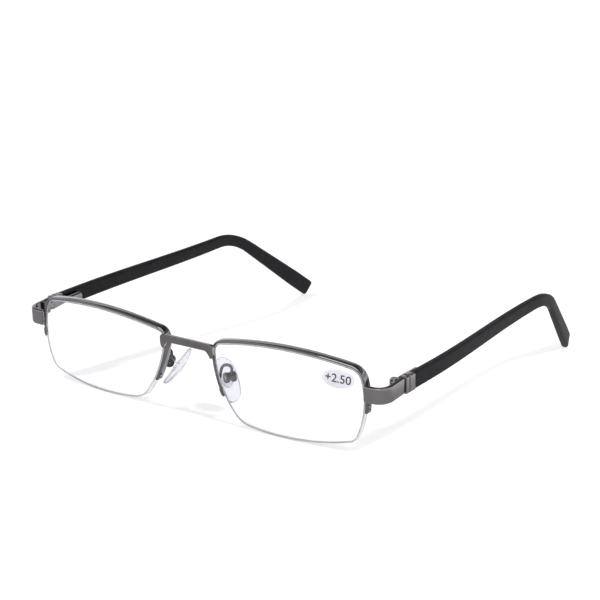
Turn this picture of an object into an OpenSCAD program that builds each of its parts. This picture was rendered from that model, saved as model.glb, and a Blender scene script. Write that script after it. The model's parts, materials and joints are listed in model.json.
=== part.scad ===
// Half-rim reading glasses with spring hinges. All sizes are in millimetres.
//
// The glasses are drawn level, in the wearer's frame: x to the wearer's left, y from the front to the ears and
// z up, with y = 0 and z = 0 at the middle of each lens's front face. They are then tilted by stand(), so that
// they stand on the lower edges of the lenses and on the tips of the temples, with z = 0 on the floor.
// Every paired piece is drawn for the wearer's left and mirrored for the right.

/* [Lenses] */
// Width of each lens
lens_w = 50; // [46:0.5:56]
// Height of each lens
lens_h = 26.5; // [24.5:0.5:32]
// Space between the lenses at the nose
nose_w = 18; // [15:0.5:22]
// Radius of the front face
front_r = 133; // [115:1:200]
// Radius of the back face, flatter than the front in a reading lens
back_r = 413; // [300:1:900]
// Thickness at the middle of the lens
lens_t = 3.4; // [3.1:0.1:4.5]
// Turn of each lens towards the temple, in degrees
wrap = 3.2; // [0:0.1:8]
// Radius of the outline's temple side
temple_side_r = 24.3; // [22:0.1:32]
// Height of the temple side's widest point
temple_side_v = 1.6; // [-1:0.1:3]
// Radius of the outline's top side
top_side_r = 101; // [70:1:160]
// Place of the top side's highest point
top_side_u = 0.4; // [-3:0.1:3]
// Radius of the outline's nose side
nose_side_r = 31.5; // [28:0.1:40]
// Height of the nose side's innermost point
nose_side_v = 10.2; // [8:0.1:11]
// Radius of the outline's bottom side
bottom_side_r = 93.5; // [70:1:160]
// Place of the bottom side's lowest point
bottom_side_u = -0.8; // [-3:0.1:3]
// Radius of the top corner at the temple
temple_top_r = 4.6; // [4:0.1:6]
// Radius of the top corner at the nose
nose_top_r = 3.2; // [2.5:0.1:4.5]
// Radius of the bottom corner at the nose
nose_bottom_r = 7.9; // [6:0.1:9]
// Radius of the bottom corner at the temple
temple_bottom_r = 4; // [3:0.1:6]

/* [Groove and cord] */
// Depth of the groove in the edge of the lens
groove_depth = 0.55; // [0.5:0.05:0.8]
// Width of the groove
groove_w = 0.55; // [0.5:0.05:0.7]
// Distance of the groove from the front face
groove_inset = 0.4; // [0.3:0.05:0.5]
// Space round the liner and the cord in the groove
groove_gap = 0.04; // [0.03:0.01:0.06]

/* [Half rim] */
// Width of the rim as seen from the front
rim_w = 0.7; // [0.6:0.05:1.2]
// Depth of the rim, front to back
rim_depth = 2.5; // [2.2:0.1:3]
// How far the rim stands in front of the lens face
rim_proud = 0.15; // [0.05:0.05:0.3]
// Space between the rim and the edge of the lens
rim_gap = 0.05; // [0.03:0.01:0.1]
// Depth of the channel inside the rim
channel_depth = 0.3; // [0.25:0.05:0.4]
// Height of the rim's end on the nose side
rim_end_nose_v = -5; // [-6:0.1:-4]
// Height of the rim's end on the temple side
rim_end_temple_v = -1.3; // [-3:0.1:0]
// Length of the cord in each end of the rim, past the end of the liner
cord_tuck = 2.6; // [2.2:0.1:3.5]
// Length of the boss that the cord's end passes through
boss_len = 2.2; // [1.8:0.1:3]
// Height of the boss on the rim
boss_rise = 0.3; // [0.25:0.05:0.6]
// Depth of the boss, front to back
boss_depth = 1.2; // [1:0.1:1.6]
// Spacing of the two cord holes
hole_pitch = 1.1; // [1:0.1:1.2]

/* [Bridge] */
// Height of the bar
bridge_h = 2.1; // [1.8:0.1:2.4]
// Height of the bar's lower edge above the middle of the lens
bridge_z = 7.75; // [7.2:0.05:8]
// Thickness of the bar
bridge_t = 1.3; // [1:0.1:1.8]
// Reach of each foot over the lens, past the edge at the nose
foot_reach = 0.65; // [0.5:0.05:0.8]
// Height of the foot's rounded outer edge
foot_h = 2.4; // [2:0.1:2.8]
// Length of the flare under the bar, towards the nose
flare_len = 2.1; // [1.6:0.1:2.6]
// Drop of the flare's tip below the bar
flare_drop = 2.1; // [1.6:0.1:2.4]
// Width of the flare's tip
flare_tip = 0.4; // [0.3:0.05:0.6]

/* [End pieces] */
// Height of the end piece's plate
end_h = 4.8; // [4.4:0.1:6]
// Thickness of the plate where it wraps back
end_t = 1.2; // [1:0.05:1.3]
// Thickness of the plate where it laps the front of the rim
lap_t = 0.9; // [0.7:0.05:1]
// Radius of the bend, outside
end_r = 4.2; // [3.5:0.1:4.8]
// Reach of the plate's outer face beyond the lens
end_reach = 6.9; // [6.7:0.1:9]
// Height of the plate's middle where it laps the rim
lap_z = 4.5; // [4:0.1:5]

/* [Hinges] */
// Height of the temples and hinges above the middle of the lens
temple_z = 5.2; // [4.8:0.1:5.6]
// Length from the bend of the end piece to the joint face
butt_len = 5.6; // [5.2:0.1:7]
// Gap at the joint face between end piece and temple
butt_gap = 0.25; // [0.2:0.05:0.4]
// Space between the knuckles and the inside of the end piece
knuckle_room = 0.1; // [0.08:0.01:0.2]
// Distance of the hinge screw in front of the joint face
screw_ahead = 1.1; // [0.9:0.05:1.3]
// Diameter of the hinge screw
screw_d = 1.2; // [1:0.05:1.4]
// Radial running clearance of the screw in its knuckles
screw_fit = 0.03; // [0.02:0.01:0.06]
// Radius of the knuckles
knuckle_r = 1.35; // [1.25:0.05:1.4]
// Height of the middle knuckle, on the slider
mid_knuckle_h = 1.4; // [1.2:0.1:1.6]
// Height of each outer knuckle, on the end piece
outer_knuckle_h = 1; // [0.9:0.05:1]
// Gap between neighbouring knuckles
knuckle_gap = 0.08; // [0.06:0.01:0.12]
// Diameter of the hinge screw's head
screw_head_d = 2.1; // [1.8:0.1:2.4]
// Height of the hinge screw's head
screw_head_h = 0.35; // [0.3:0.05:0.5]
// Length of the leaf on the end piece
leaf_len = 3.6; // [3:0.1:4]
// Thickness of the leaf
leaf_t = 0.9; // [0.7:0.05:1]

/* [Spring boxes] */
// Height of the spring box
box_h = 3.6; // [3.4:0.1:4.2]
// Width of the spring box, which is let into the inner side of the temple
box_w = 2.9; // [2.8:0.1:3.1]
// Thickness of the box's wall on the inner side
box_wall = 0.25; // [0.2:0.05:0.4]
// Space between the box and its pocket in the temple
box_fit = 0.03; // [0.02:0.01:0.05]
// Distance from the screw to the front of the box
box_start = 2.6; // [2.5:0.1:3]
// Length of the spring box
box_len = 10.2; // [9.8:0.1:13]
// Width and height of the slider's square shank
shank_w = 2.1; // [1.9:0.05:2.2]
// Clearance round the shank
shank_fit = 0.05; // [0.03:0.01:0.08]
// Depth of the square channel in the front of the box
mouth_len = 2.6; // [2.4:0.1:3]
// Thickness of the wall that the spring pushes on
wall_t = 0.8; // [0.6:0.1:1]
// Diameter of the slider's rod
rod_d = 1; // [0.8:0.05:1.1]
// Diameter of the spring chamber
chamber_d = 2.2; // [2.1:0.05:2.4]
// Length of the nut at the end of the rod
nut_len = 0.9; // [0.7:0.1:1.2]
// Length of the plug that closes the chamber
plug_len = 0.8; // [0.6:0.1:1]
// Outward travel of the temple in the box as it flexes
flex_travel = 0.7; // [0.6:0.1:0.9]
// Thickness of the spring's wire
spring_wire = 0.3; // [0.25:0.05:0.35]
// Number of turns of the spring
spring_turns = 5; // [4:1:6]

/* [Temples] */
// How far the temple's outer face stands outside that of the end piece
temple_proud = 0.5; // [0.3:0.1:0.7]
// Thickness of the temple at the front
temple_t = 2.5; // [2.2:0.1:3]
// Height of the temple at the front
temple_h = 5; // [4.6:0.1:6]
// Height of the temple before its bend
waist_h = 3.9; // [3.4:0.1:5]
// Height of the tip near its end
tip_h = 5.4; // [4.4:0.1:7]
// Thickness of the tip
tip_t = 2.3; // [2:0.1:3]
// Length from the front of the metal cap to its groove
cap_strip = 1.9; // [1.4:0.1:2.4]
// Length of the metal cap
cap_len = 4.5; // [4:0.1:6]
// Width of the groove round the cap
cap_groove_w = 0.35; // [0.25:0.05:0.5]
// Depth of the groove round the cap
cap_groove = 0.2; // [0.1:0.05:0.3]
// Distance from the joint face to the bend behind the ear
bend_y = 89; // [80:0.5:98]
// Inward bow of the temple between hinge and bend
bow = 3.4; // [2:0.1:4.5]
// Radius of the bend
bend_r = 22; // [12:0.5:26]
// Length of the tip from the bend to its end
tip_len = 42; // [36:0.5:44]
// Drop of the tip, in degrees
tip_drop = 40; // [36:0.1:44]
// Inward turn of the tip, in degrees
tip_turn = 12.8; // [9:0.1:14]
// Diameter of the core wire
core_d = 1.2; // [1:0.05:1.4]
// Clearance round the core wire
core_fit = 0.04; // [0.03:0.01:0.08]
// Length of the tip beyond the end of the core wire
core_short = 7; // [5:0.5:12]

/* [Nose pads] */
// Sideways place of the pad's screw
pad_x = 11.8; // [11.4:0.1:12.4]
// Place of the pad's screw behind the lens face
pad_y = 6.5; // [6.2:0.1:7.5]
// Height of the pad's screw
pad_z = -1; // [-2:0.1:0]
// Lean of the pad's top towards the nose, in degrees
pad_lean = 38; // [32:1:42]
// Turn of the pad to face the nose, in degrees
pad_turn = 30; // [25:1:35]
// Length of the pad
pad_len = 13.4; // [11:0.1:14.5]
// Width of the pad
pad_w = 7.6; // [6.6:0.1:8.4]
// Thickness of the pad at its middle
pad_t = 2.1; // [1.9:0.1:2.6]
// Radius of the pad's crown
pad_crown_r = 19; // [17:0.5:30]
// Distance from the screw to the back of the pad
pad_off = 2.2; // [2:0.1:2.6]
// Thickness of the insert's plate
insert_t = 0.6; // [0.5:0.05:0.7]
// Length of the insert's plate
insert_len = 4.4; // [4:0.1:5]
// Width of the insert's plate
insert_w = 3.6; // [3:0.1:4]
// Clearance round the insert's plate
insert_fit = 0.04; // [0.03:0.01:0.06]
// Length of the pad's barrel
barrel_len = 3.2; // [3:0.1:3.6]
// Radius of the barrel
barrel_r = 1.5; // [1.45:0.05:1.7]
// Width of the slot in the barrel
slot_w = 1.4; // [1.3:0.05:1.5]
// Thickness of the insert's lug
lug_t = 1.24; // [1.1:0.02:1.26]
// Radius of the lug
lug_r = 0.9; // [0.85:0.05:0.95]
// Diameter of the pad screw
pin_d = 0.8; // [0.7:0.05:0.9]
// Radial running clearance of the pad screw
pin_fit = 0.03; // [0.02:0.01:0.05]
// Diameter of the pad screw's head
pin_head_d = 1.5; // [1.3:0.1:1.8]
// Height of the pad screw's head
pin_head_h = 0.35; // [0.3:0.05:0.5]
// Diameter of the pad arm's wire
arm_d = 0.9; // [0.8:0.05:1]

/* [Sticker] */
// Width of the sticker on the left lens
sticker_w = 9.6; // [8:0.1:11]
// Height of the sticker
sticker_h = 5.3; // [4.5:0.1:6]
// Thickness of the sticker
sticker_t = 0.1; // [0.08:0.01:0.15]
// Sideways place of the sticker on the lens
sticker_u = 17.2; // [15:0.1:18]
// Height of the sticker on the lens
sticker_v = 7.6; // [5:0.1:8.5]

/* [Hidden] */
$fn = 48;
// Facets of the sphere that the front face lies on, which is far larger than the lens
face_fn = 360;
// Rings of the shallow back face
back_rings = 20;
// Steps along each arc of the outline
side_steps = 10;
corner_steps = 8;
// Overlap of a cut past the face it opens
cut = 1;

// Lens outline: four side arcs, joined by four corner arcs that touch them. u runs to the temple and v up.
half_w = lens_w / 2;
half_h = lens_h / 2;
// Each side as centre and radius, from the temple side over the top to the nose side and the bottom
sides = [
    [[half_w - temple_side_r, temple_side_v], temple_side_r],
    [[top_side_u, half_h - top_side_r], top_side_r],
    [[-half_w + nose_side_r, nose_side_v], nose_side_r],
    [[bottom_side_u, -half_h + bottom_side_r], bottom_side_r]];
corner_radii = [temple_top_r, nose_top_r, nose_bottom_r, temple_bottom_r];
corner_signs = [[1, 1], [-1, 1], [-1, -1], [1, -1]];

// Crossing of two circles that is nearer to a given point
function meet(c1, r1, c2, r2, near) =
    let (d = norm(c2 - c1), along = (r1 * r1 - r2 * r2 + d * d) / (2 * d))
    let (across = sqrt(max(r1 * r1 - along * along, 0)), e = (c2 - c1) / d, foot = c1 + along * e)
    let (p = foot + across * [-e.y, e.x], q = foot - across * [-e.y, e.x])
    norm(p - near) < norm(q - near) ? p : q;

corner_centres = [for (i = [0:3])
    meet(sides[i][0], sides[i][1] - corner_radii[i], sides[(i + 1) % 4][0],
        sides[(i + 1) % 4][1] - corner_radii[i],
        [corner_signs[i].x * half_w, corner_signs[i].y * half_h] * 0.7)];

function bearing(p) = (atan2(p.y, p.x) + 360) % 360;
// Direction at which each corner arc begins and ends
corner_from = [for (i = [0:3]) bearing(corner_centres[i] - sides[i][0])];
corner_to = [for (i = [0:3]) bearing(corner_centres[i] - sides[(i + 1) % 4][0])];

// Stations [u, v, direction] along an arc
function stations(c, r, a0, a1, n) =
    [for (i = [0:n]) let (a = a0 + (a1 - a0) * i / n) [c.x + r * cos(a), c.y + r * sin(a), a]];
function side(i, a0, a1) = stations(sides[i][0], sides[i][1], a0, a1, side_steps);
function corner(i) = stations(corner_centres[i], corner_radii[i], corner_from[i], corner_to[i], corner_steps);
// The same path moved out by g, as plain points
function moved(path, g) = [for (s = path) [s.x + g * cos(s[2]), s.y + g * sin(s[2])]];
function turned(list) = [for (i = [len(list) - 1:-1:0]) list[i]];
function tail(list) = [for (i = [1:len(list) - 1]) list[i]];
// Joins paths whose neighbours share an end point
function chain(paths) = concat(paths[0], [for (i = [1:len(paths) - 1]) each tail(paths[i])]);

// Directions on the side arcs at which the rim ends, moved along the rim by a length
function temple_end(shift) =
    asin((rim_end_temple_v - temple_side_v) / temple_side_r) + shift / temple_side_r * 180 / PI;
function nose_end(shift) =
    180 + asin((nose_side_v - rim_end_nose_v) / nose_side_r) - shift / nose_side_r * 180 / PI;

// Over the top, from the temple side to the nose side, cut back by a length at both ends
function upper_path(shift) = chain([side(0, temple_end(shift), corner_from[0]), corner(0),
    side(1, corner_to[0], corner_from[1]), corner(1), side(2, corner_to[1], nose_end(shift))]);
// Under the lens, from the nose side to the temple side, run on by a length at both ends
function lower_path(shift) = chain([side(2, nose_end(shift), corner_from[2]), corner(2),
    side(3, corner_to[2], corner_from[3]), corner(3), side(0, corner_to[3] - 360, temple_end(shift))]);
function outline() = chain([side(0, corner_to[3] - 360, corner_from[0]), corner(0),
    side(1, corner_to[0], corner_from[1]), corner(1), side(2, corner_to[1], corner_from[2]), corner(2),
    side(3, corner_to[2], corner_from[3]), corner(3)]);
function band(path, g0, g1) = concat(moved(path, g1), turned(moved(path, g0)));

// Depth of the front face behind its middle
function sag(u, v) = front_r - sqrt(front_r * front_r - u * u - v * v);

// Places of the lens in the wearer's frame
lens_x = nose_w / 2 + half_w * cos(wrap);
function from_lens(u, y, v) = [lens_x + u * cos(wrap) - y * sin(wrap), u * sin(wrap) + y * cos(wrap), v];
module at_lens() translate([lens_x, 0, 0]) rotate([0, 0, wrap]) children();

// Depths of the rim, the channel and the cord behind the front face
rim_back = rim_depth - rim_proud;
cord_depth = groove_inset + groove_w / 2;
cord_r = groove_w / 2 - groove_gap;
cord_g = -groove_depth + groove_gap + cord_r;
rim_outer = rim_gap + rim_w;

// End piece in plan: it starts over the rim, runs on with the lens's turn, bends back and ends at the joint face
face_x = nose_w / 2 + lens_w * cos(wrap) + end_reach;
lap_start = from_lens(half_w, sag(half_w, lap_z) - rim_proud - lap_t, lap_z);
bend_c = [face_x - end_r, lap_start.y + (face_x - end_r - lap_start.x) * tan(wrap) + end_r / cos(wrap)];
butt_y = bend_c.y + butt_len;
end_rise = (temple_z - lap_z) / (butt_y - lap_start.y);

// Hinge screw
leaf_x = face_x - end_t;
screw_x = leaf_x - knuckle_room - knuckle_r;
screw_y = butt_y - screw_ahead;
barrel_h = mid_knuckle_h + 2 * outer_knuckle_h + 2 * knuckle_gap;
box_y = screw_y + box_start;
temple_y = butt_y + butt_gap;
temple_x = face_x + temple_proud;
inner_x = temple_x - temple_t;
box_x = screw_x - chamber_d / 2 - box_wall + box_w;
box_end = box_y + box_len;
chamber_y = box_y + mouth_len + wall_t;
rod_end_y = box_end - plug_len - 0.4;
nut_r = chamber_d / 2 - shank_fit;

// Centreline of the temple: straight with a bow, then an arc down and in, then the straight tip
core_x = temple_x - temple_t / 2;
arm_y = temple_y + cap_len;
tip_dir = [-sin(tip_turn), cos(tip_turn) * cos(tip_drop), -cos(tip_turn) * sin(tip_drop)];
bend_angle = acos(tip_dir.y);
bend_side = [tip_dir.x, 0, tip_dir.z] / sin(bend_angle);
bend_tangent = bend_r * tan(bend_angle / 2);
arc_y = butt_y + bend_y - bend_tangent;
straight_len = arc_y - arm_y;
arc_len = bend_r * bend_angle * PI / 180;
arm_len = straight_len + arc_len + tip_len - bend_tangent;

// The bow starts behind the spring box, which is let into the straight arm
box_run = box_end - arm_y;
function bowed(s) = bow * (1 - cos(180 * max(0, min((s - box_run) / (straight_len - box_run), 1)))) / 2;
// Point at a length s along the temple arm
function arm_point(s) =
    s < straight_len ? [core_x - bowed(s), arm_y + s, temple_z] :
    let (a = min((s - straight_len) / bend_r * 180 / PI, bend_angle), rest = max(s - straight_len - arc_len, 0))
    [core_x - bow, arc_y, temple_z] + bend_r * (sin(a) * [0, 1, 0] + (1 - cos(a)) * bend_side) + rest * tip_dir;
function arm_dir(s) =
    let (a = max(0, min((s - straight_len) / bend_r * 180 / PI, bend_angle)))
    cos(a) * [0, 1, 0] + sin(a) * bend_side;
function arm_side(s) = let (c = cross(arm_dir(s), [0, 0, 1])) c / norm(c);
function arm_height(s) = lookup(s / arm_len, [[0, temple_h], [0.62, waist_h], [0.72, waist_h], [0.93, tip_h],
    [1, tip_h]]);
function arm_thick(s) = lookup(s / arm_len, [[0, temple_t], [0.08, temple_t], [0.7, tip_t - 0.1], [0.9, tip_t],
    [1, tip_t]]);

// Lengths along the arm at which its rings lie, and how much the last ones shrink to round the end
arm_round = 1.3;
body_rings = [for (i = [0:10]) straight_len * i / 10];
bend_rings = [for (i = [1:8]) straight_len + arc_len * i / 8];
tip_rings = [for (i = [1:6]) straight_len + arc_len + (arm_len - straight_len - arc_len - arm_round) * i / 6];
end_rings = [for (a = [25, 50, 70, 83]) arm_len - arm_round * (1 - sin(a))];
ring_points = 12;

function ring_scale(s) =
    let (t = max(0, (s - arm_len + arm_round) / arm_round)) sqrt(1 - t * t);
// Rounded rectangle of 12 points, three to a corner
function bar_section(w, h, r) = [for (k = [0:3], j = [0:2])
    let (a = 90 * k + 45 * j, sx = (k == 0 || k == 3) ? 1 : -1, sy = k < 2 ? 1 : -1)
    [sx * (w / 2 - r) + r * cos(a), sy * (h / 2 - r) + r * sin(a)]];
function round_section(r) = [for (i = [0:ring_points - 1]) r * [cos(30 * i), sin(30 * i)]];
function arm_ring(s, section) = let (e = arm_side(s), f = cross(arm_dir(s), e))
    [for (p = section) arm_point(s) + p.x * e + p.y * f];
function arm_outer(s) = arm_ring(s, ring_scale(s) * bar_section(arm_thick(s), arm_height(s), arm_thick(s) * 0.36));
arm_rings = concat(body_rings, bend_rings, tip_rings, end_rings);
core_len = arm_len - core_short;
core_start = box_run + 0.06;
core_rings = concat([core_start], [for (s = body_rings) if (s > core_start + cut) s], bend_rings,
    [for (i = [1:5]) straight_len + arc_len + (core_len - straight_len - arc_len) * i / 5]);

// Side faces of a skin of rings, and its two flat ends
function skin(rings, n, first, flip) = [for (i = [0:rings - 2], k = [0:n - 1], h = [0, 1])
    let (a = first + i * n + k, b = first + i * n + (k + 1) % n)
    let (t = h == 0 ? [a, b, b + n] : [a, b + n, a + n])
    flip ? [t[2], t[1], t[0]] : t];
function ring_face(n, first, flip) = [for (k = [0:n - 1]) first + (flip ? n - 1 - k : k)];
function flat(lists) = [for (l = lists) each l];
module tube(rings) {
    n = len(rings[0]);
    m = len(rings);
    polyhedron(flat(rings), concat(skin(m, n, 0, true), [ring_face(n, 0, false)],
        [ring_face(n, (m - 1) * n, true)]), convexity = 8);
}

// Stance: the tilt at which the lowest points of lens and tip are both on the floor
function lowest(points, a, i, best) = i == len(points) ? best :
    lowest(points, a, i + 1, drop(points[i], a) < drop(best, a) ? points[i] : best);
function drop(p, a) = p.y * sin(a) + p.z * cos(a);
lens_foot = [for (s = lower_path(0), y = [0, lens_t]) from_lens(s.x, y == 0 ? sag(s.x, s.y) : back_y(s.x, s.y), s.y)];
tip_foot = [for (s = concat(tip_rings, end_rings)) each arm_outer(s)];
function back_y(u, v) = lens_t + back_r - sqrt(back_r * back_r - u * u - v * v);
function settle(a, n) = n == 0 ? a :
    let (p = lowest(lens_foot, a, 0, lens_foot[0]), q = lowest(tip_foot, a, 0, tip_foot[0]))
    settle(atan2(p.z - q.z, q.y - p.y), n - 1);
tilt = settle(4, 5);
rise = -drop(lowest(lens_foot, tilt, 0, lens_foot[0]), tilt);

// The origin lies midway between the bar's front and the ends of the tips
bridge_y = from_lens(-half_w, sag(half_w, bridge_z) - rim_proud, bridge_z).y - bridge_t;
function back_of(p) = p.y * cos(tilt) - p.z * sin(tilt);
front_most = back_of([0, bridge_y, bridge_z + bridge_h]);
back_most = max([for (p = tip_foot) back_of(p)]);
middle_y = (front_most + back_most) / 2;

module stand() translate([0, -middle_y, rise]) rotate([tilt, 0, 0]) children();
module left() stand() children();
module right() stand() mirror([1, 0, 0]) children();

// Extrudes a shape drawn in u and v from y0 to y1
module across(y0, y1) translate([0, y1, 0]) rotate([90, 0, 0]) linear_extrude(y1 - y0) children();
// Everything behind a face that lies at depth d behind the lens's front face
module behind(d) translate([0, front_r, 0]) sphere(front_r - d, $fn = face_fn);
// A band along a path, between two depths
module strip(path, g0, g1, d0, d1) difference() {
    intersection() {
        across(-2 * cut, 3 * lens_t) polygon(band(path, g0, g1));
        behind(d0);
    }
    behind(d1);
}

gunmetal = [0.42, 0.41, 0.43];
black = [0.1, 0.1, 0.11];
nylon = [0.9, 0.9, 0.92];

module lens() color([0.95, 0.97, 1, 0.35]) at_lens() difference() {
    intersection() {
        across(-cut, 3 * lens_t) polygon(moved(outline(), 0));
        behind(0);
    }
    back_cut();
    groove();
}

// Everything behind the back face, which is too flat for a sphere's facets
module back_cut() {
    reach = 0.6 * lens_w;
    rotate([-90, 0, 0]) rotate_extrude($fn = 120) polygon(concat(
        [for (i = [0:back_rings]) let (r = reach * i / back_rings) [r, back_y(r, 0)]],
        [[reach, 4 * lens_t], [0, 4 * lens_t]]));
}

// The groove runs all round the edge, at one distance behind the front face
module groove() difference() {
    intersection() {
        across(-cut, 3 * lens_t) difference() {
            polygon(moved(outline(), cut));
            polygon(moved(outline(), -groove_depth));
        }
        behind(groove_inset);
    }
    behind(groove_inset + groove_w);
}

// A place on the rim near its end, x pointing out of the lens and y back, at the middle of the groove
module on_side(i, a) {
    c = sides[i][0];
    p = c + sides[i][1] * [cos(a), sin(a)];
    translate([p.x, sag(p.x, p.y) + cord_depth, p.y]) rotate([0, -a, 0]) children();
}

// The two cord holes near one end of the rim
module cord_holes(d, g0, g1) for (s = [-1, 1])
    translate([g0, 0, s * hole_pitch / 2]) rotate([0, 90, 0]) cylinder(d = d, h = g1 - g0, $fn = 24);

module boss() translate([rim_outer - cut / 4, -boss_depth / 2, -boss_len / 2])
    cube([boss_rise + cut / 4, boss_depth, boss_len]);

boss_out = rim_outer + boss_rise;
hole_d = 2 * (cord_r + groove_gap);

module half_rim() color(gunmetal) at_lens() difference() {
    union() {
        strip(upper_path(0), rim_gap, rim_outer, -rim_proud, rim_back);
        on_side(2, nose_end(boss_len * 0.6)) boss();
        on_side(0, temple_end(boss_len * 0.6)) boss();
    }
    strip(upper_path(-cut), 0, rim_gap + channel_depth, groove_inset, groove_inset + groove_w);
    on_side(2, nose_end(boss_len * 0.6)) cord_holes(hole_d, 0, boss_out + cut);
    on_side(0, temple_end(boss_len * 0.6)) cord_holes(hole_d, 0, boss_out + cut);
}

module rim_liner() color(nylon) at_lens()
    strip(upper_path(cord_tuck), -groove_depth + groove_gap, rim_gap + channel_depth - groove_gap,
        groove_inset + groove_gap, groove_inset + groove_w - groove_gap);

// The cord lies in the groove, and each of its ends passes out through one hole and back through the other
module nylon_cord() color(nylon) at_lens() {
    tube([for (s = lower_path(cord_tuck - 0.3)) cord_ring(s)]);
    on_side(2, nose_end(boss_len * 0.6)) cord_holes(2 * cord_r, cord_g, boss_out);
    on_side(0, temple_end(boss_len * 0.6)) cord_holes(2 * cord_r, cord_g, boss_out);
}
function cord_ring(s) = let (e = [cos(s[2]), 0, sin(s[2])])
    let (c = [s.x, sag(s.x, s.y) + cord_depth, s.y] + cord_g * e)
    [for (i = [0:7]) c + cord_r * (cos(45 * i) * e + sin(45 * i) * [0, 1, 0])];

module power_sticker() color([0.9, 0.9, 0.96]) at_lens() difference() {
    intersection() {
        across(-cut, lens_t) polygon([for (a = [0:10:350])
            [sticker_u + sticker_w / 2 * cos(a), sticker_v + sticker_h / 2 * sin(a)]]);
        behind(-sticker_t - 0.01);
    }
    behind(-0.01);
}

// Half of the bar as seen from the front, with a rounded foot and a flare that tapers down the rim
function curve(a, b, c) = [for (i = [0:6]) let (t = i / 6) (1 - t) * (1 - t) * a + 2 * t * (1 - t) * b + t * t * c];
bar_top = bridge_z + bridge_h;
foot_x = nose_w / 2 + foot_reach;
tip_x = nose_w / 2;
tip_z = bridge_z - flare_drop;
half_bar = concat([[0, bar_top]],
    curve([foot_x - foot_h / 2, bar_top], [foot_x, bar_top], [foot_x, bar_top - foot_h / 2]),
    curve([foot_x, bar_top - foot_h], [foot_x, bridge_z - flare_drop / 2], [tip_x, tip_z]),
    curve([tip_x - flare_tip, tip_z], [tip_x - flare_len / 2, bridge_z - flare_drop * 0.3],
        [tip_x - flare_len, bridge_z]),
    [[0, bridge_z]]);
module bridge() color(gunmetal) stand() across(bridge_y, bridge_y + bridge_t)
    polygon(concat(half_bar, [for (p = tail(turned(tail(half_bar)))) [-p.x, p.y]]));

// End piece in plan, from its start over the rim
lap_dir = [cos(wrap), sin(wrap)];
lap_in = [-sin(wrap), cos(wrap)];
lap_len = rim_outer + 0.25;
function bend(r) = [for (i = [0:8]) let (a = -90 + wrap + (90 - wrap) * i / 8) bend_c + r * [cos(a), sin(a)]];
module end_plan() {
    start = [lap_start.x, lap_start.y];
    step = start + lap_len * lap_dir;
    polygon(concat([start], bend(end_r), [[face_x, butt_y], [face_x - end_t, butt_y]], turned(bend(end_r - end_t)),
        [step + end_t * lap_in, step + lap_t * lap_in, start + lap_t * lap_in]));
}
module end_piece() color(gunmetal) intersection() {
    linear_extrude(4 * end_h, center = true) end_plan();
    translate([0, lap_start.y, lap_z]) rotate([atan(end_rise), 0, 0])
        translate([0, -end_h, -end_h / 2]) cube([2 * face_x, 6 * end_h, end_h]);
}

// Two outer knuckles on a plate that is soldered to the inside of the end piece and slotted for the middle knuckle
module hinge_leaf() color(gunmetal) translate([screw_x, screw_y, temple_z]) difference() {
    union() {
        translate([leaf_x - screw_x - leaf_t, screw_ahead - 0.2 - leaf_len, -barrel_h / 2])
            cube([leaf_t, leaf_len, barrel_h]);
        for (s = [-1, 1]) translate([0, 0, s * (barrel_h - outer_knuckle_h) / 2]) {
            cylinder(r = knuckle_r, h = outer_knuckle_h, center = true);
            translate([0, -knuckle_r * 0.8, -outer_knuckle_h / 2])
                cube([leaf_x - screw_x - leaf_t / 2, knuckle_r * 1.4, outer_knuckle_h]);
        }
    }
    cylinder(d = screw_d + 2 * screw_fit, h = barrel_h + 2 * cut, center = true);
    translate([-2 * knuckle_r, -knuckle_r - knuckle_room, -mid_knuckle_h / 2 - knuckle_gap])
        cube([4 * knuckle_r, leaf_len, mid_knuckle_h + 2 * knuckle_gap]);
}

module hinge_screw() color([0.6, 0.6, 0.62]) translate([screw_x, screw_y, temple_z]) difference() {
    union() {
        translate([0, 0, -barrel_h / 2]) cylinder(d = screw_d, h = barrel_h + screw_head_h / 2);
        translate([0, 0, barrel_h / 2 + 0.03]) cylinder(d = screw_head_d, h = screw_head_h);
    }
    translate([-screw_head_d, -0.15, barrel_h / 2 + 0.03 + screw_head_h * 0.5]) cube([2 * screw_head_d, 0.3, cut]);
}

// Middle knuckle, square shank and rod, which the temple slides along
module hinge_slider() color([0.55, 0.55, 0.57]) translate([screw_x, screw_y, temple_z]) {
    difference() {
        union() {
            cylinder(r = knuckle_r, h = mid_knuckle_h, center = true);
            translate([-shank_w / 2, 0, -mid_knuckle_h / 2]) cube([shank_w, box_start, mid_knuckle_h]);
        }
        cylinder(d = screw_d + 2 * screw_fit, h = barrel_h, center = true);
    }
    translate([-shank_w / 2, knuckle_r + 0.6, -shank_w / 2])
        cube([shank_w, box_start + mouth_len - knuckle_r - 0.6 - shank_fit, shank_w]);
    translate([0, box_start, 0]) rotate([-90, 0, 0]) cylinder(d = rod_d, h = rod_end_y - box_y);
}

module slider_nut() color([0.6, 0.6, 0.62]) translate([screw_x, rod_end_y, temple_z]) rotate([90, 0, 0]) difference() {
    cylinder(r = nut_r, h = nut_len);
    translate([0, 0, -cut]) cylinder(d = rod_d + 0.04, h = nut_len + 2 * cut);
}

// The spring, against the nut, at the length that it has when the temple is flexed all the way
spring_r = (rod_d + chamber_d) / 4;
spring_len = rod_end_y - nut_len - chamber_y - flex_travel;
module hinge_spring() color([0.7, 0.7, 0.72]) translate([screw_x, chamber_y + flex_travel, temple_z])
    tube(spring_rings);
spring_steps = 12;
spring_rings = [for (i = [0:spring_turns * spring_steps])
    let (a = 360 * i / spring_steps, e = [cos(a), 0, sin(a)])
    let (y = spring_wire / 2 + 0.04 + (spring_len - spring_wire - 0.08) * i / (spring_turns * spring_steps))
    [for (k = [0:5]) (spring_r + spring_wire / 2 * cos(60 * k)) * e + [0, y + spring_wire / 2 * sin(60 * k), 0]]];

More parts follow.
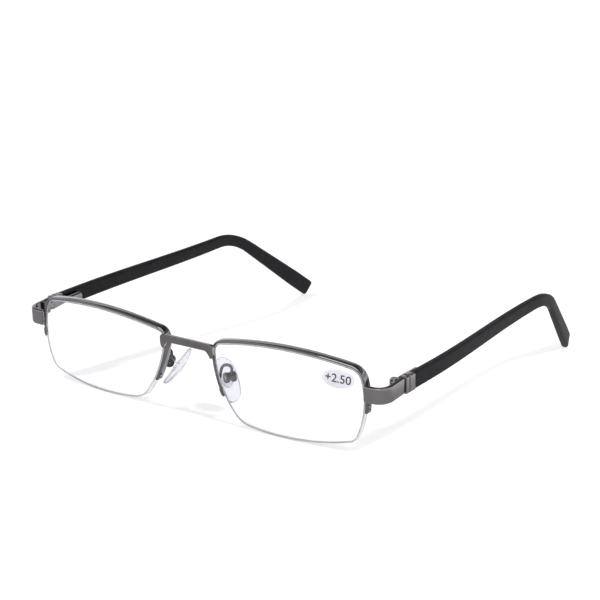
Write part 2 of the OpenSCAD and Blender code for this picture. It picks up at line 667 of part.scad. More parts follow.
// The box's outline, flat in front and rounded behind, larger by g
module box_shape(x0, x1, y0, g) {
    round_y = box_end - box_h / 2;
    translate([x0, y0, temple_z - box_h / 2 - g]) cube([x1 - x0, round_y - y0, box_h + 2 * g]);
    translate([x0, round_y, temple_z]) rotate([0, 90, 0]) cylinder(d = box_h + 2 * g, h = x1 - x0);
}

module spring_box() color(gunmetal) difference() {
    box_shape(box_x - box_w, box_x, box_y, 0);
    translate([screw_x, box_y, temple_z]) {
        translate([-shank_w / 2 - shank_fit, -cut, -shank_w / 2 - shank_fit])
            cube([shank_w + 2 * shank_fit, mouth_len + cut, shank_w + 2 * shank_fit]);
        rotate([-90, 0, 0]) cylinder(d = rod_d + 2 * shank_fit, h = box_len / 2);
        translate([0, mouth_len + wall_t, 0]) rotate([-90, 0, 0])
            cylinder(d = chamber_d, h = box_len);
    }
}

// The pocket that the box lies in, which runs out through the front of the cap
module box_pocket() box_shape(inner_x - cut, box_x + box_fit, temple_y - cut, box_fit);

module box_plug() color([0.55, 0.55, 0.57]) translate([screw_x, box_end - plug_len - 0.1, temple_z])
    rotate([-90, 0, 0]) cylinder(d = chamber_d - 0.04, h = plug_len);

module temple_cap() color(gunmetal) difference() {
    translate([inner_x, temple_y, temple_z - temple_h / 2]) cube([temple_t, cap_len, temple_h]);
    translate([temple_x - cap_groove, temple_y + cap_strip, temple_z - temple_h])
        cube([cut, cap_groove_w, 2 * temple_h]);
    for (s = [-1, 1]) translate([inner_x - cut, temple_y + cap_strip, temple_z + s * (temple_h - cap_groove)])
        translate([0, 0, -temple_h / 2]) cube([temple_t + 2 * cut, cap_groove_w, temple_h]);
    box_pocket();
}

module temple_core() color([0.6, 0.6, 0.62]) tube([for (s = core_rings) arm_ring(s, round_section(core_d / 2))]);

// Black arm and tip, with the rear of the box's pocket and, behind it, a blind hole for the core wire
module temple_arm() color(black) difference() {
    tube([for (s = arm_rings) arm_outer(s)]);
    tube([for (s = concat([box_run], core_rings, [core_len + 0.1]))
        arm_ring(s, round_section(core_d / 2 + core_fit))]);
    box_pocket();
}

// Nose pad frame: the origin is on the pad's screw, -x to the nose, y along the screw and z along the pad
module at_pad() translate([pad_x, pad_y, pad_z]) rotate([0, -pad_lean, -pad_turn]) children();
function from_pad(p) =
    let (q = [p.x * cos(pad_lean) - p.z * sin(pad_lean), p.y, p.x * sin(pad_lean) + p.z * cos(pad_lean)])
    [pad_x + q.x * cos(pad_turn) + q.y * sin(pad_turn), pad_y - q.x * sin(pad_turn) + q.y * cos(pad_turn), pad_z + q.z];
function oval(l, w) = [for (a = [0:10:350]) [w / 2 * cos(a), l / 2 * sin(a)]];
// Extrudes a shape drawn across and along the pad from x0 down to x1
module through_pad(x0, x1) translate([x0, 0, 0]) rotate([0, -90, 0]) rotate([0, 0, -90])
    mirror([1, 0, 0]) linear_extrude(x0 - x1) children();

module pad_barrel() color(gunmetal) at_pad() difference() {
    rotate([90, 0, 0]) cylinder(r = barrel_r, h = barrel_len, center = true);
    translate([-2 * barrel_r, -slot_w / 2, -2 * barrel_r])
        cube([2 * barrel_r + lug_r + 0.1, slot_w, 4 * barrel_r]);
    rotate([90, 0, 0]) cylinder(d = pin_d + 2 * pin_fit, h = 2 * barrel_len, center = true);
}

module pad_screw() color([0.6, 0.6, 0.62]) at_pad() rotate([-90, 0, 0]) {
    translate([0, 0, -barrel_len / 2]) cylinder(d = pin_d, h = barrel_len + pin_head_h / 2);
    translate([0, 0, barrel_len / 2 + 0.02]) cylinder(d = pin_head_d, h = pin_head_h);
}

module pad_insert() color([0.85, 0.85, 0.88]) at_pad() difference() {
    union() {
        rotate([90, 0, 0]) cylinder(r = lug_r, h = lug_t, center = true);
        translate([-pad_off - insert_t / 2, -lug_t / 2, -lug_r * 0.8])
            cube([pad_off + insert_t / 2 - lug_r * 0.4, lug_t, lug_r * 1.6]);
        through_pad(-pad_off, -pad_off - insert_t) polygon(oval(insert_len, insert_w));
    }
    rotate([90, 0, 0]) cylinder(d = pin_d + 2 * pin_fit, h = 2 * lug_t, center = true);
}

module nose_pad() color([0.88, 0.86, 0.95]) at_pad() difference() {
    intersection() {
        through_pad(-pad_off, -pad_off - pad_t) polygon(oval(pad_len, pad_w));
        translate([pad_crown_r - pad_off - pad_t, 0, 0]) sphere(pad_crown_r, $fn = 120);
    }
    through_pad(-pad_off + cut, -pad_off - insert_t - insert_fit)
        polygon(oval(insert_len + 2 * insert_fit, insert_w + 2 * insert_fit));
}

// Pad arm: from the back of the rim, up and over in a loop, and down to the barrel
arm_root_v = -0.4;
arm_root_a = 180 + asin((nose_side_v - arm_root_v) / nose_side_r);
arm_root_u = -half_w + nose_side_r + nose_side_r * cos(arm_root_a) - (rim_gap + rim_w / 2);
arm_root = from_lens(arm_root_u, sag(arm_root_u, arm_root_v) + rim_back, arm_root_v);
arm_end = from_pad([barrel_r - 0.15, 0, 0.5]);
loop_top = (arm_root + arm_end) / 2 + [-0.6, 1.2, 2.7];
function bezier(p, t) = pow(1 - t, 3) * p[0] + 3 * t * pow(1 - t, 2) * p[1] + 3 * t * t * (1 - t) * p[2] + pow(t, 3) * p[3];
arm_out = [arm_root, arm_root + [-0.2, 1.6, 0.2], loop_top + [-1.5, -0.8, -0.3], loop_top];
arm_in = [loop_top, loop_top + [1.5, 0.8, 0.3], arm_end + [0.9, 0.1, 2], arm_end];
arm_path = concat([for (i = [0:10]) bezier(arm_out, i / 10)], [for (i = [1:10]) bezier(arm_in, i / 10)]);
function path_dir(p, i) = let (d = p[min(i + 1, len(p) - 1)] - p[max(i - 1, 0)]) d / norm(d);
function wire_ring(c, d, r) =
    let (e0 = cross(d, [0.5, 0.8, -0.2]), e = e0 / norm(e0), f = cross(d, e))
    [for (i = [0:7]) c + r * (cos(45 * i) * e + sin(45 * i) * f)];
module pad_arm() color(gunmetal)
    tube([for (i = [0:len(arm_path) - 1]) wire_ring(arm_path[i], path_dir(arm_path, i), arm_d / 2)]);

bridge();
left() half_rim();  // half_rim_left
right() half_rim();  // half_rim_right
left() rim_liner();  // rim_liner_left
right() rim_liner();  // rim_liner_right
left() lens();  // lens_left
right() lens();  // lens_right
left() nylon_cord();  // nylon_cord_left
right() nylon_cord();  // nylon_cord_right
left() power_sticker();
left() end_piece();  // end_piece_left
right() end_piece();  // end_piece_right
left() hinge_leaf();  // hinge_leaf_left
right() hinge_leaf();  // hinge_leaf_right
left() hinge_screw();  // hinge_screw_left
right() hinge_screw();  // hinge_screw_right
left() hinge_slider();  // hinge_slider_left
right() hinge_slider();  // hinge_slider_right
left() slider_nut();  // slider_nut_left
right() slider_nut();  // slider_nut_right
left() hinge_spring();  // hinge_spring_left
right() hinge_spring();  // hinge_spring_right
left() spring_box();  // spring_box_left
right() spring_box();  // spring_box_right
left() box_plug();  // box_plug_left
right() box_plug();  // box_plug_right
left() temple_cap();  // temple_cap_left
right() temple_cap();  // temple_cap_right
left() temple_core();  // temple_core_left
right() temple_core();  // temple_core_right
left() temple_arm();  // temple_arm_left
right() temple_arm();  // temple_arm_right
left() pad_arm();  // pad_arm_left
right() pad_arm();  // pad_arm_right
left() pad_barrel();  // pad_barrel_left
right() pad_barrel();  // pad_barrel_right
left() pad_screw();  // pad_screw_left
right() pad_screw();  // pad_screw_right
left() pad_insert();  // pad_insert_left
right() pad_insert();  // pad_insert_right
left() nose_pad();  // nose_pad_left
right() nose_pad();  // nose_pad_right
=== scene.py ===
"""Half-rim reading glasses: the looks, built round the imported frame.

Shapes are drawn in millimetres in the wearer's frame, as the construction is: x to the wearer's left, y from
the front to the ears and z up, with y = 0 and z = 0 at the middle of each lens's front face. place() tilts
them into the frame's own stance, in metres. Each paired piece is drawn for the wearer's left and mirrored.
"""
import json
import math

import bmesh
import bpy
from mathutils import Matrix, Vector


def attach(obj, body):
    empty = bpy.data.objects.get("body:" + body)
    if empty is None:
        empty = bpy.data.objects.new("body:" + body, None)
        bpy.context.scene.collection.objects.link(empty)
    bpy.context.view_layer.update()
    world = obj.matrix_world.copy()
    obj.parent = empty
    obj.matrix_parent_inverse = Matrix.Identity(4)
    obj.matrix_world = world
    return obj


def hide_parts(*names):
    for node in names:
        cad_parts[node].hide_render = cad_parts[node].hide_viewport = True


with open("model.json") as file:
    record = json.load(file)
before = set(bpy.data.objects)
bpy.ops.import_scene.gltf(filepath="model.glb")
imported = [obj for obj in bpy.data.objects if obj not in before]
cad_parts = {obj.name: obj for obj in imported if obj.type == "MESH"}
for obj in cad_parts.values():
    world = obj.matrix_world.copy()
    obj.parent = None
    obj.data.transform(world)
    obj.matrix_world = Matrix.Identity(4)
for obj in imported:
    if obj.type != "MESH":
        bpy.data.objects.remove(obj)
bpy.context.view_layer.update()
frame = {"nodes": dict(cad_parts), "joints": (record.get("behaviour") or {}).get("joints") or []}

MM = 0.001
SIDES = ("left", "right")
# Edges sharper than this many degrees stay sharp, unless a piece gives its own angle
SMOOTH_ANGLE = 38
# soften() rounds edges sharper than this many degrees, in this many steps
SOFT_ANGLE, SOFT_STEPS = 32, 4

# Lenses
LENS_W, LENS_H, NOSE_W = 50.0, 26.5, 18.0
FRONT_R, BACK_R, LENS_T, LENS_BEVEL = 133.0, 413.0, 3.4, 0.16
WRAP = math.radians(3.2)
# Sides of the outline as (centre u, centre v, radius)
SIDE_ARCS = (
    (LENS_W / 2 - 24.3, 1.6, 24.3),
    (0.4, LENS_H / 2 - 101, 101.0),
    (-LENS_W / 2 + 31.5, 10.2, 31.5),
    (-0.8, -LENS_H / 2 + 93.5, 93.5),
)
TEMPLE_SIDE, TOP_SIDE, NOSE_SIDE, LOW_SIDE = range(4)
# Each side's corner with the next side: its radius, and the quarter of the lens that it lies in
CORNER_R = (4.6, 3.2, 7.9, 4.0)
CORNER_SIGNS = ((1, 1), (-1, 1), (-1, -1), (1, -1))
SIDE_STEP, CORNER_STEPS = 1.6, 12
# Rings on a lens's faces, as shares of its outline
FACE_SHARES = (0.25, 0.5, 0.72, 0.88, 0.96)
# A face of the lens is ground where its normal's share along the tilted y axis is less than this
GROUND_BELOW = 0.85
GROOVE_DEPTH, GROOVE_W, GROOVE_INSET, GROOVE_GAP = 0.55, 0.55, 0.4, 0.04
GROOVE_END = GROOVE_INSET + GROOVE_W

# Nylon cord: radius, distance of its middle from the outline, depth behind the front face, and the length
# that each end runs on beside the rim
CORD_R = GROOVE_W / 2 - GROOVE_GAP
CORD_G = -GROOVE_DEPTH + GROOVE_GAP + CORD_R
CORD_DEPTH = GROOVE_INSET + GROOVE_W / 2
CORD_TUCK, CORD_POINTS = 2.3, 12
# Its ends are domed from just inside the boss's face: (rise, share of the radius)
CORD_END_SINK, CORD_DOME = 0.04, ((0.07, 0.85), (0.11, 0.5))

# Half rim
RIM_W, RIM_DEPTH, RIM_PROUD, RIM_GAP, CHANNEL_DEPTH = 0.7, 2.5, 0.15, 0.05, 0.3
RIM_BACK = RIM_DEPTH - RIM_PROUD
RIM_OUTER = RIM_GAP + RIM_W
RIM_END_NOSE_V, RIM_END_TEMPLE_V = -5.0, -1.3
# Its section as (distance outside the outline, depth behind the front face): the front, the outer side, the
# back, and the inner side with its channel
RIM_SECTION = (
    (RIM_GAP, 0.12), (RIM_GAP + 0.08, -0.08), (RIM_GAP + 0.2, -RIM_PROUD), (RIM_OUTER - 0.3, -RIM_PROUD),
    (RIM_OUTER - 0.14, -0.1), (RIM_OUTER - 0.04, 0.0), (RIM_OUTER, 0.14), (RIM_OUTER, RIM_BACK - 0.2),
    (RIM_OUTER - 0.04, RIM_BACK - 0.08), (RIM_OUTER - 0.16, RIM_BACK), (RIM_GAP + 0.16, RIM_BACK),
    (RIM_GAP + 0.04, RIM_BACK - 0.06), (RIM_GAP, RIM_BACK - 0.16), (RIM_GAP, GROOVE_END),
    (RIM_GAP + CHANNEL_DEPTH, GROOVE_END), (RIM_GAP + CHANNEL_DEPTH, GROOVE_INSET), (RIM_GAP, GROOVE_INSET))
# Bosses for the cord, and the distance of their middle from the rim's end
BOSS_LEN, BOSS_RISE, BOSS_DEPTH, HOLE_PITCH = 2.2, 0.3, 1.2, 1.1
BOSS_AT, BOSS_SINK, BOSS_ROUND = BOSS_LEN * 0.6, 0.2, 0.22
# Ends of a rounded box, in shares of its radius: (distance from the end, inset)
ROUND_ENDS, ROUND_STEPS = ((0, 0.8), (0.3, 0.25), (1, 0)), 3

# Bridge
BRIDGE_H, BRIDGE_Z, BRIDGE_T, BRIDGE_ROUND = 2.1, 7.75, 1.3, 0.34
FOOT_REACH, FOOT_H, FLARE_LEN, FLARE_DROP, FLARE_TIP = 0.65, 2.4, 2.1, 2.1, 0.4
CURVE_STEPS = 12

# End pieces
END_H, END_T, LAP_T, END_R, END_REACH, LAP_Z = 4.8, 1.2, 0.9, 4.2, 6.9, 4.5
# The lap is thinner as far as just past the rim, where it steps, and its corners are round
LAP_OVER, LAP_STEP, LOW_CORNER_R, HIGH_CORNER_R = 0.25, 0.12, 0.9, 0.35
# Both ends and the rear edges are eased. The front edges are round: (depth, distance from the edge)
END_EASE, END_BACK_EASE, END_BEND_STEPS = 0.14, 0.12, 12
END_EDGE, END_EDGE_DEPTH = ((0.0, 0.42), (0.1, 0.189), (0.3, 0.08)), 0.5

# Hinges and temples
TEMPLE_Z, BUTT_LEN, BUTT_GAP, KNUCKLE_ROOM, KNUCKLE_R, SCREW_AHEAD = 5.2, 5.6, 0.25, 0.1, 1.35, 1.1
BOX_H, BOX_W, BOX_WALL, BOX_FIT, BOX_START, BOX_LEN = 3.6, 2.9, 0.25, 0.03, 2.6, 10.2
# The spring box's top lies a little lower than its pocket's, and the edge of its inner face is round
BOX_DROP, BOX_ROUND, BOX_STEPS = 0.4, 0.7, 16
SHANK_W, SHANK_FIT, MOUTH_LEN, CHAMBER_D = 2.1, 0.05, 2.6, 2.2
TEMPLE_PROUD, TEMPLE_T, TEMPLE_H, WAIST_H, TIP_H, TIP_T = 0.5, 2.5, 5.0, 3.9, 5.4, 2.3
CAP_STRIP, CAP_LEN, CAP_GROOVE_W, CAP_GROOVE = 1.5, 4.5, 0.35, 0.25
CAP_EASE, CAP_INNER_EASE, CAP_GROOVE_WALL, CAP_CHAMFER = 0.16, 0.1, 0.02, 0.42
# The cap's rounded chamfer, in shares of its width: (from the outer face, from the edge)
CHAMFER = ((0, 1), (0.13, 0.5), (0.5, 0.13), (1, 0))
BEND_Y, BOW, BEND_R, TIP_LEN = 89.0, 3.4, 22.0, 42.0
TIP_DROP, TIP_TURN = math.radians(40), math.radians(12.8)
# The arm's size along it: (share of its length, height or thickness)
ARM_HEIGHTS = ((0, TEMPLE_H), (0.62, WAIST_H), (0.72, WAIST_H), (0.93, TIP_H), (1, TIP_H))
ARM_THICKS = ((0, TEMPLE_T), (0.08, TEMPLE_T), (0.7, TIP_T - 0.1), (0.9, TIP_T), (1, TIP_T))
ARM_STEPS, ARM_CORNER_SHARE, ARM_CORNER_POINTS, ARM_SMOOTH_ANGLE = 70, 0.36, 5, 50
# Its front edge is eased: (distance from the end, how much smaller). Its tip is round, and a little short
ARM_EASE = ((0.0, 0.28), (0.06, 0.12), (0.2, 0.03), (0.5, 0.0))
ARM_ROUND, TIP_SHORT, TIP_TAPER = 1.3, 0.3, 0.92
# How far the tool that cuts its pocket stands out
CUTTER_OUT = 1

# Nose pads and their arms
PAD_AT = Vector((11.8, 6.5, -1.0))
PAD_LEAN, PAD_TURN = math.radians(38), math.radians(30)
PAD_ROT = Matrix.Rotation(-PAD_TURN, 3, "Z") @ Matrix.Rotation(-PAD_LEAN, 3, "Y")
PAD_LEN, PAD_W, PAD_T, PAD_CROWN_R, PAD_OFF = 13.4, 7.6, 2.1, 19.0, 2.2
PAD_EASE, PAD_BACK_EASE, PAD_POINTS = 0.42, 0.25, 56
# An ellipse has a power of 2, and more is squarer
PAD_POWER = 2.3
PAD_SHARES, PAD_BACK_SHARES = (0.15, 0.35, 0.55, 0.75, 0.88), (0.8, 0.45)
BARREL_R, WIRE_D, WIRE_POINTS, WIRE_STEPS, WIRE_ROOT_V = 1.5, 0.9, 14, 20, -0.4

# Sticker on the wearer's left lens, its rings as (share of its size, share of its thickness), and its digits
STICKER_W, STICKER_H, STICKER_T, STICKER_U, STICKER_V = 9.6, 5.3, 0.1, 17.2, 7.6
STICKER_POINTS = 64
STICKER_RINGS = ((0.3, 1), (0.7, 1), (0.97, 1), (1.0, 0.7), (1.0, 0.15), (0.7, 0.15), (0.3, 0.15))
DIGITS, DIGIT_SIZE, DIGIT_WEIGHT, DIGIT_TURN = "+2.50", 3.4, 0.012, math.radians(-4)
INK_T, INK_TOP, INK_LOW = 0.03, 0.035, -0.01

# Camera in the wearer's frame: its place, and its right, up and forward directions
CAMERA_AT, CAMERA_LENS, CAMERA_SENSOR = (310.39, -370.54, 182.56), 107.70, 36.0
CAMERA_AXES = ((0.812503, 0.582553, -0.02173), (-0.168452, 0.270305, 0.947923),
               (-0.558089, 0.766529, -0.317756))

# Light and floor, in metres and watts
FLOOR_HALF, FLOOR_DROP = 4, 0.0002
FLOOR_GREY, SEEN_GREY = 0.8, 0.36
# The floor's glow to the camera, near the object and far from it, and the distances between which it grows
FLOOR_GLOW, FLOOR_FAR_GLOW, GLOW_FROM, GLOW_TO = 0.67, 1.0, 0.16, 0.34
# How bright the floor is in reflections, in front of the object and behind it, and where it changes
MIRRORED_FRONT, MIRRORED_BEHIND, MIRRORED_FROM, MIRRORED_TO = 0.42, 0.8, -0.03, 0.06
WORLD_LIT, WORLD_SEEN = 0.42, 1.0
# Levels of the reflected surroundings by the height of the direction: 0 at the horizon, 1 overhead
WORLD_GRADE = (
    (0.0, 1.0), (0.2, 0.8), (0.28, 0.45), (0.34, 0.45), (0.4, 0.85), (0.47, 0.85), (0.51, 0.08),
    (0.59, 0.08), (0.62, 0.55), (0.65, 0.08), (0.84, 0.05), (1.0, 0.5))
SIDE_LAMP_X, SIDE_LAMP_Y, SIDE_LAMP_Z = 0.69, -0.19, 1.0
SIDE_AIM_SHARE, SIDE_AIM_Y = 0.52, -0.02
SIDE_POWER, SIDE_RADIUS, SIDE_CONE, SIDE_BLEND = 42.0, 0.055, math.radians(37.2), 0.1
FILL_AT, FILL_AIM, FILL_SIZE, FILL_POWER = (0.15, -1.2, 0.7), (0, 0, 0.01), (0.9, 0.6), 5.0


# Derived places, worked out as the construction works them out

def sag(u, v):
    """Depth of the lens's front face behind its middle."""
    return FRONT_R - math.sqrt(FRONT_R ** 2 - u * u - v * v)


def back_y(u, v):
    """The same for the back face."""
    return LENS_T + BACK_R - math.sqrt(BACK_R ** 2 - u * u - v * v)


LENS_X = NOSE_W / 2 + LENS_W / 2 * math.cos(WRAP)


def from_lens(u, y, v):
    """From the lens's own frame: u to the temple, y to the back and v up."""
    c, s = math.cos(WRAP), math.sin(WRAP)
    return Vector((LENS_X + u * c - y * s, u * s + y * c, v))


def meet(c1, r1, c2, r2, near):
    """The crossing of two circles that is nearer to a point."""
    d = (c2 - c1).length
    along = (r1 * r1 - r2 * r2 + d * d) / (2 * d)
    across = math.sqrt(max(r1 * r1 - along * along, 0))
    e = (c2 - c1) / d
    foot, turn = c1 + along * e, Vector((-e.y, e.x))
    return min((foot + across * turn, foot - across * turn), key=lambda p: (p - near).length)


def arc(centre, r, a0, a1, n):
    """Stations (u, v, direction in degrees) along an arc."""
    out = []
    for i in range(n + 1):
        a = a0 + (a1 - a0) * i / n
        t = math.radians(a)
        out.append((centre[0] + r * math.cos(t), centre[1] + r * math.sin(t), a))
    return out


def corner_arcs():
    """Each corner as (centre, radius, first and last direction)."""
    out = []
    for i in range(4):
        (u1, v1, r1), (u2, v2, r2) = SIDE_ARCS[i], SIDE_ARCS[(i + 1) % 4]
        c1, c2, r = Vector((u1, v1)), Vector((u2, v2)), CORNER_R[i]
        # a point in the corner's own quarter tells the two crossings apart
        near = Vector((CORNER_SIGNS[i][0] * LENS_W, CORNER_SIGNS[i][1] * LENS_H)) * 0.35
        c = meet(c1, r1 - r, c2, r2 - r, near)
        first, last = (math.degrees(math.atan2(c.y - k.y, c.x - k.x)) % 360 for k in (c1, c2))
        out.append((c, r, first, last))
    return out


CORNERS = corner_arcs()


def side_arc(i, a0, a1):
    u, v, r = SIDE_ARCS[i]
    n = max(2, round(abs(math.radians(a1 - a0)) * r / SIDE_STEP))
    return arc((u, v), r, a0, a1, n)


def corner_arc(i):
    c, r, first, last = CORNERS[i]
    return arc(c, r, first, last, CORNER_STEPS)


def corner_first(i):
    return CORNERS[i][2]


def corner_last(i):
    return CORNERS[i][3]


def chain(*paths):
    out = list(paths[0])
    for p in paths[1:]:
        out += p[1:]
    return out


def temple_end(shift):
    """Direction of the rim's end on the temple side, moved up the side by a length."""
    v, r = SIDE_ARCS[TEMPLE_SIDE][1:]
    return math.degrees(math.asin((RIM_END_TEMPLE_V - v) / r) + shift / r)


def nose_end(shift):
    """The same on the nose side."""
    v, r = SIDE_ARCS[NOSE_SIDE][1:]
    return 180 + math.degrees(math.asin((v - RIM_END_NOSE_V) / r) - shift / r)


def temple_start():
    """Where the temple side leaves the lower corner, as a direction below 0 degrees."""
    return corner_last(LOW_SIDE) - 360


def upper_path():
    """Over the top, from the rim's end on the temple side to its end on the nose side."""
    return chain(side_arc(TEMPLE_SIDE, temple_end(0), corner_first(0)), corner_arc(0),
                 side_arc(TOP_SIDE, corner_last(0), corner_first(1)), corner_arc(1),
                 side_arc(NOSE_SIDE, corner_last(1), nose_end(0)))


def lower_path(shift):
    """Under the lens, from the nose side to the temple side, run on by a length at both ends."""
    return chain(side_arc(NOSE_SIDE, nose_end(shift), corner_first(2)), corner_arc(2),
                 side_arc(LOW_SIDE, corner_last(2), corner_first(3)), corner_arc(3),
                 side_arc(TEMPLE_SIDE, temple_start(), temple_end(shift)))


def outline():
    return chain(side_arc(TEMPLE_SIDE, temple_start(), corner_first(0)), corner_arc(0),
                 side_arc(TOP_SIDE, corner_last(0), corner_first(1)), corner_arc(1),
                 side_arc(NOSE_SIDE, corner_last(1), corner_first(2)), corner_arc(2),
                 side_arc(LOW_SIDE, corner_last(2), corner_first(3)), corner_arc(3))[:-1]


FACE_X = NOSE_W / 2 + LENS_W * math.cos(WRAP) + END_REACH
LAP_START = from_lens(LENS_W / 2, sag(LENS_W / 2, LAP_Z) - RIM_PROUD - LAP_T, LAP_Z)
BEND_X = FACE_X - END_R
BEND_CY = LAP_START.y + (BEND_X - LAP_START.x) * math.tan(WRAP) + END_R / math.cos(WRAP)
BUTT_Y = BEND_CY + BUTT_LEN
END_RISE = (TEMPLE_Z - LAP_Z) / (BUTT_Y - LAP_START.y)
SCREW_X, SCREW_Y = FACE_X - END_T - KNUCKLE_ROOM - KNUCKLE_R, BUTT_Y - SCREW_AHEAD
TEMPLE_X = FACE_X + TEMPLE_PROUD
INNER_X = TEMPLE_X - TEMPLE_T
CORE_X = TEMPLE_X - TEMPLE_T / 2
BOX_X = SCREW_X - CHAMBER_D / 2 - BOX_WALL + BOX_W
BOX_Y = SCREW_Y + BOX_START
BOX_END = BOX_Y + BOX_LEN
CAP_Y = BUTT_Y + BUTT_GAP
ARM_Y = CAP_Y + CAP_LEN
BRIDGE_Y = from_lens(-LENS_W / 2, sag(LENS_W / 2, BRIDGE_Z) - RIM_PROUD, BRIDGE_Z).y - BRIDGE_T
BAR_TOP = BRIDGE_Z + BRIDGE_H
RIM_ENDS = ((NOSE_SIDE, nose_end(BOSS_AT)), (TEMPLE_SIDE, temple_end(BOSS_AT)))

# The arm runs straight past the box, bows, bends at BEND_Y behind the joint face and runs on to its tip
TIP_DIR = Vector((-math.sin(TIP_TURN), math.cos(TIP_TURN) * math.cos(TIP_DROP),
                  -math.cos(TIP_TURN) * math.sin(TIP_DROP)))
BEND_ANGLE = math.acos(TIP_DIR.y)
BEND_SIDE = Vector((TIP_DIR.x, 0, TIP_DIR.z)) / math.sin(BEND_ANGLE)
BEND_TANGENT = BEND_R * math.tan(BEND_ANGLE / 2)
ARC_Y = BUTT_Y + BEND_Y - BEND_TANGENT
STRAIGHT_LEN = ARC_Y - ARM_Y
ARC_LEN = BEND_R * BEND_ANGLE
ARM_LEN = STRAIGHT_LEN + ARC_LEN + TIP_LEN - BEND_TANGENT
BOX_RUN = BOX_END - ARM_Y

# The stance comes from the frame: its hinge axis gives the tilt, and its hinge the shift
fold = next(j for j in frame["joints"] if j["name"] == "left_fold")
TILT = math.atan2(-fold["axis"][1], fold["axis"][2])
STAND = Matrix.Rotation(TILT, 3, "X")
SHIFT = Vector(fold["pos_m"]) - STAND @ Vector((SCREW_X, SCREW_Y, TEMPLE_Z)) * MM


def place(p):
    return STAND @ Vector(p) * MM + SHIFT


# Mesh building

def add_object(name, data):
    obj = bpy.data.objects.new(name, data)
    bpy.context.scene.collection.objects.link(obj)
    return obj


def shade(mesh, smooth_angle):
    for p in mesh.polygons:
        p.use_smooth = True
    mesh.set_sharp_from_angle(angle=math.radians(smooth_angle))


def finish_mesh(name, bm, smooth_angle=SMOOTH_ANGLE):
    bmesh.ops.remove_doubles(bm, verts=bm.verts, dist=1e-8)
    bmesh.ops.recalc_face_normals(bm, faces=bm.faces)
    mesh = bpy.data.meshes.new(name)
    bm.to_mesh(mesh)
    bm.free()
    shade(mesh, smooth_angle)
    return add_object(name, mesh)


def make(name, side, verts, faces, smooth_angle=SMOOTH_ANGLE):
    """One object from points in the wearer's frame, mirrored for the right."""
    sign = 1 if side == "left" else -1
    bm = bmesh.new()
    vs = [bm.verts.new(place((sign * p[0], p[1], p[2]))) for p in verts]
    for f in faces:
        bm.faces.new([vs[i] for i in f])
    return finish_mesh(name, bm, smooth_angle)


def evaluated_mesh(obj):
    """A copy of the object's mesh with its modifiers applied, or of a text's faces."""
    bpy.context.view_layer.update()
    return bpy.data.meshes.new_from_object(obj.evaluated_get(bpy.context.evaluated_depsgraph_get()))


def loft(rings, closed=True, caps=True):
    """Faces between rings of points. closed joins each ring's last point to its first."""
    n = len(rings[0])
    verts = [p for r in rings for p in r]
    span = n if closed else n - 1
    faces = [(i * n + k, i * n + (k + 1) % n, (i + 1) * n + (k + 1) % n, (i + 1) * n + k)
             for i in range(len(rings) - 1) for k in range(span)]
    if caps:
        faces.append(tuple(range(n)))
        faces.append(tuple(range((len(rings) - 1) * n, len(rings) * n)))
    return verts, faces


def merge(*parts):
    verts, faces = [], []
    for v, f in parts:
        base = len(verts)
        verts += v
        faces += [tuple(base + i for i in q) for q in f]
    return verts, faces


def circle_ring(centre, e, f, r, n):
    return [centre + r * (math.cos(t) * e + math.sin(t) * f) for t in (2 * math.pi * k / n for k in range(n))]


def rounded_box(point, size, r):
    """A box with round edges along z and round ends. point(x, y, z) maps its own space."""
    (x0, x1), (y0, y1), (z0, z1) = size
    levels = [(z0 + r * k, r * cut) for k, cut in ROUND_ENDS]
    levels += [(z1 - r * k, r * cut) for k, cut in reversed(ROUND_ENDS)]
    corners = ((x1 - r, y1 - r, 0), (x0 + r, y1 - r, 90), (x0 + r, y0 + r, 180), (x1 - r, y0 + r, 270))
    rings = []
    for z, inset in levels:
        ring = []
        for cx, cy, start in corners:
            for i in range(ROUND_STEPS + 1):
                t = math.radians(start + 90 * i / ROUND_STEPS)
                ring.append(point(cx + (r - inset) * math.cos(t), cy + (r - inset) * math.sin(t), z))
        rings.append(ring)
    return loft(rings)


def soften(obj, width):
    """Rounds the sharp edges, and keeps the flats flat."""
    bevel = obj.modifiers.new("soft_edges", "BEVEL")
    bevel.width = width * MM
    bevel.segments = SOFT_STEPS
    bevel.limit_method = "ANGLE"
    bevel.angle_limit = math.radians(SOFT_ANGLE)
    bevel.miter_outer = "MITER_ARC"
    normals = obj.modifiers.new("flat_faces", "WEIGHTED_NORMAL")
    normals.keep_sharp = False


def paint(obj, material):
    obj.data.materials.clear()
    obj.data.materials.append(material)


def dress(obj, body, material, slot, *nodes):
    paint(obj, material)
    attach(obj, body)
    if nodes:
        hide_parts(*nodes)


# Materials

# Depth of the finest grain, in metres
GRAIN_DEPTH = 0.00003


def new_material(name):
    m = bpy.data.materials.new(name)
    m.use_nodes = True
    return m, m.node_tree.nodes, m.node_tree.links, m.node_tree.nodes["Principled BSDF"]


def noise(nodes, links, scale, detail=4.0, stretch=(1, 1, 1)):
    """Noise in the object's own space, where 1 is a metre."""
    coords = nodes.new("ShaderNodeTexCoord")
    mapping = nodes.new("ShaderNodeMapping")
    mapping.inputs["Scale"].default_value = stretch
    tex = nodes.new("ShaderNodeTexNoise")
    tex.inputs["Scale"].default_value = scale
    tex.inputs["Detail"].default_value = detail
    links.new(coords.outputs["Object"], mapping.inputs["Vector"])
    links.new(mapping.outputs["Vector"], tex.inputs["Vector"])
    return tex.outputs["Fac"]


def ramp(nodes, links, value, low, high):
    """Maps the middle of the noise's range to a range of greys or colours."""
    r = nodes.new("ShaderNodeValToRGB")
    for e, at, c in zip(r.color_ramp.elements, (0.35, 0.65), (low, high)):
        e.position = at
        e.color = (c, c, c, 1) if isinstance(c, (int, float)) else (*c, 1)
    links.new(value, r.inputs["Fac"])
    return r.outputs["Color"]


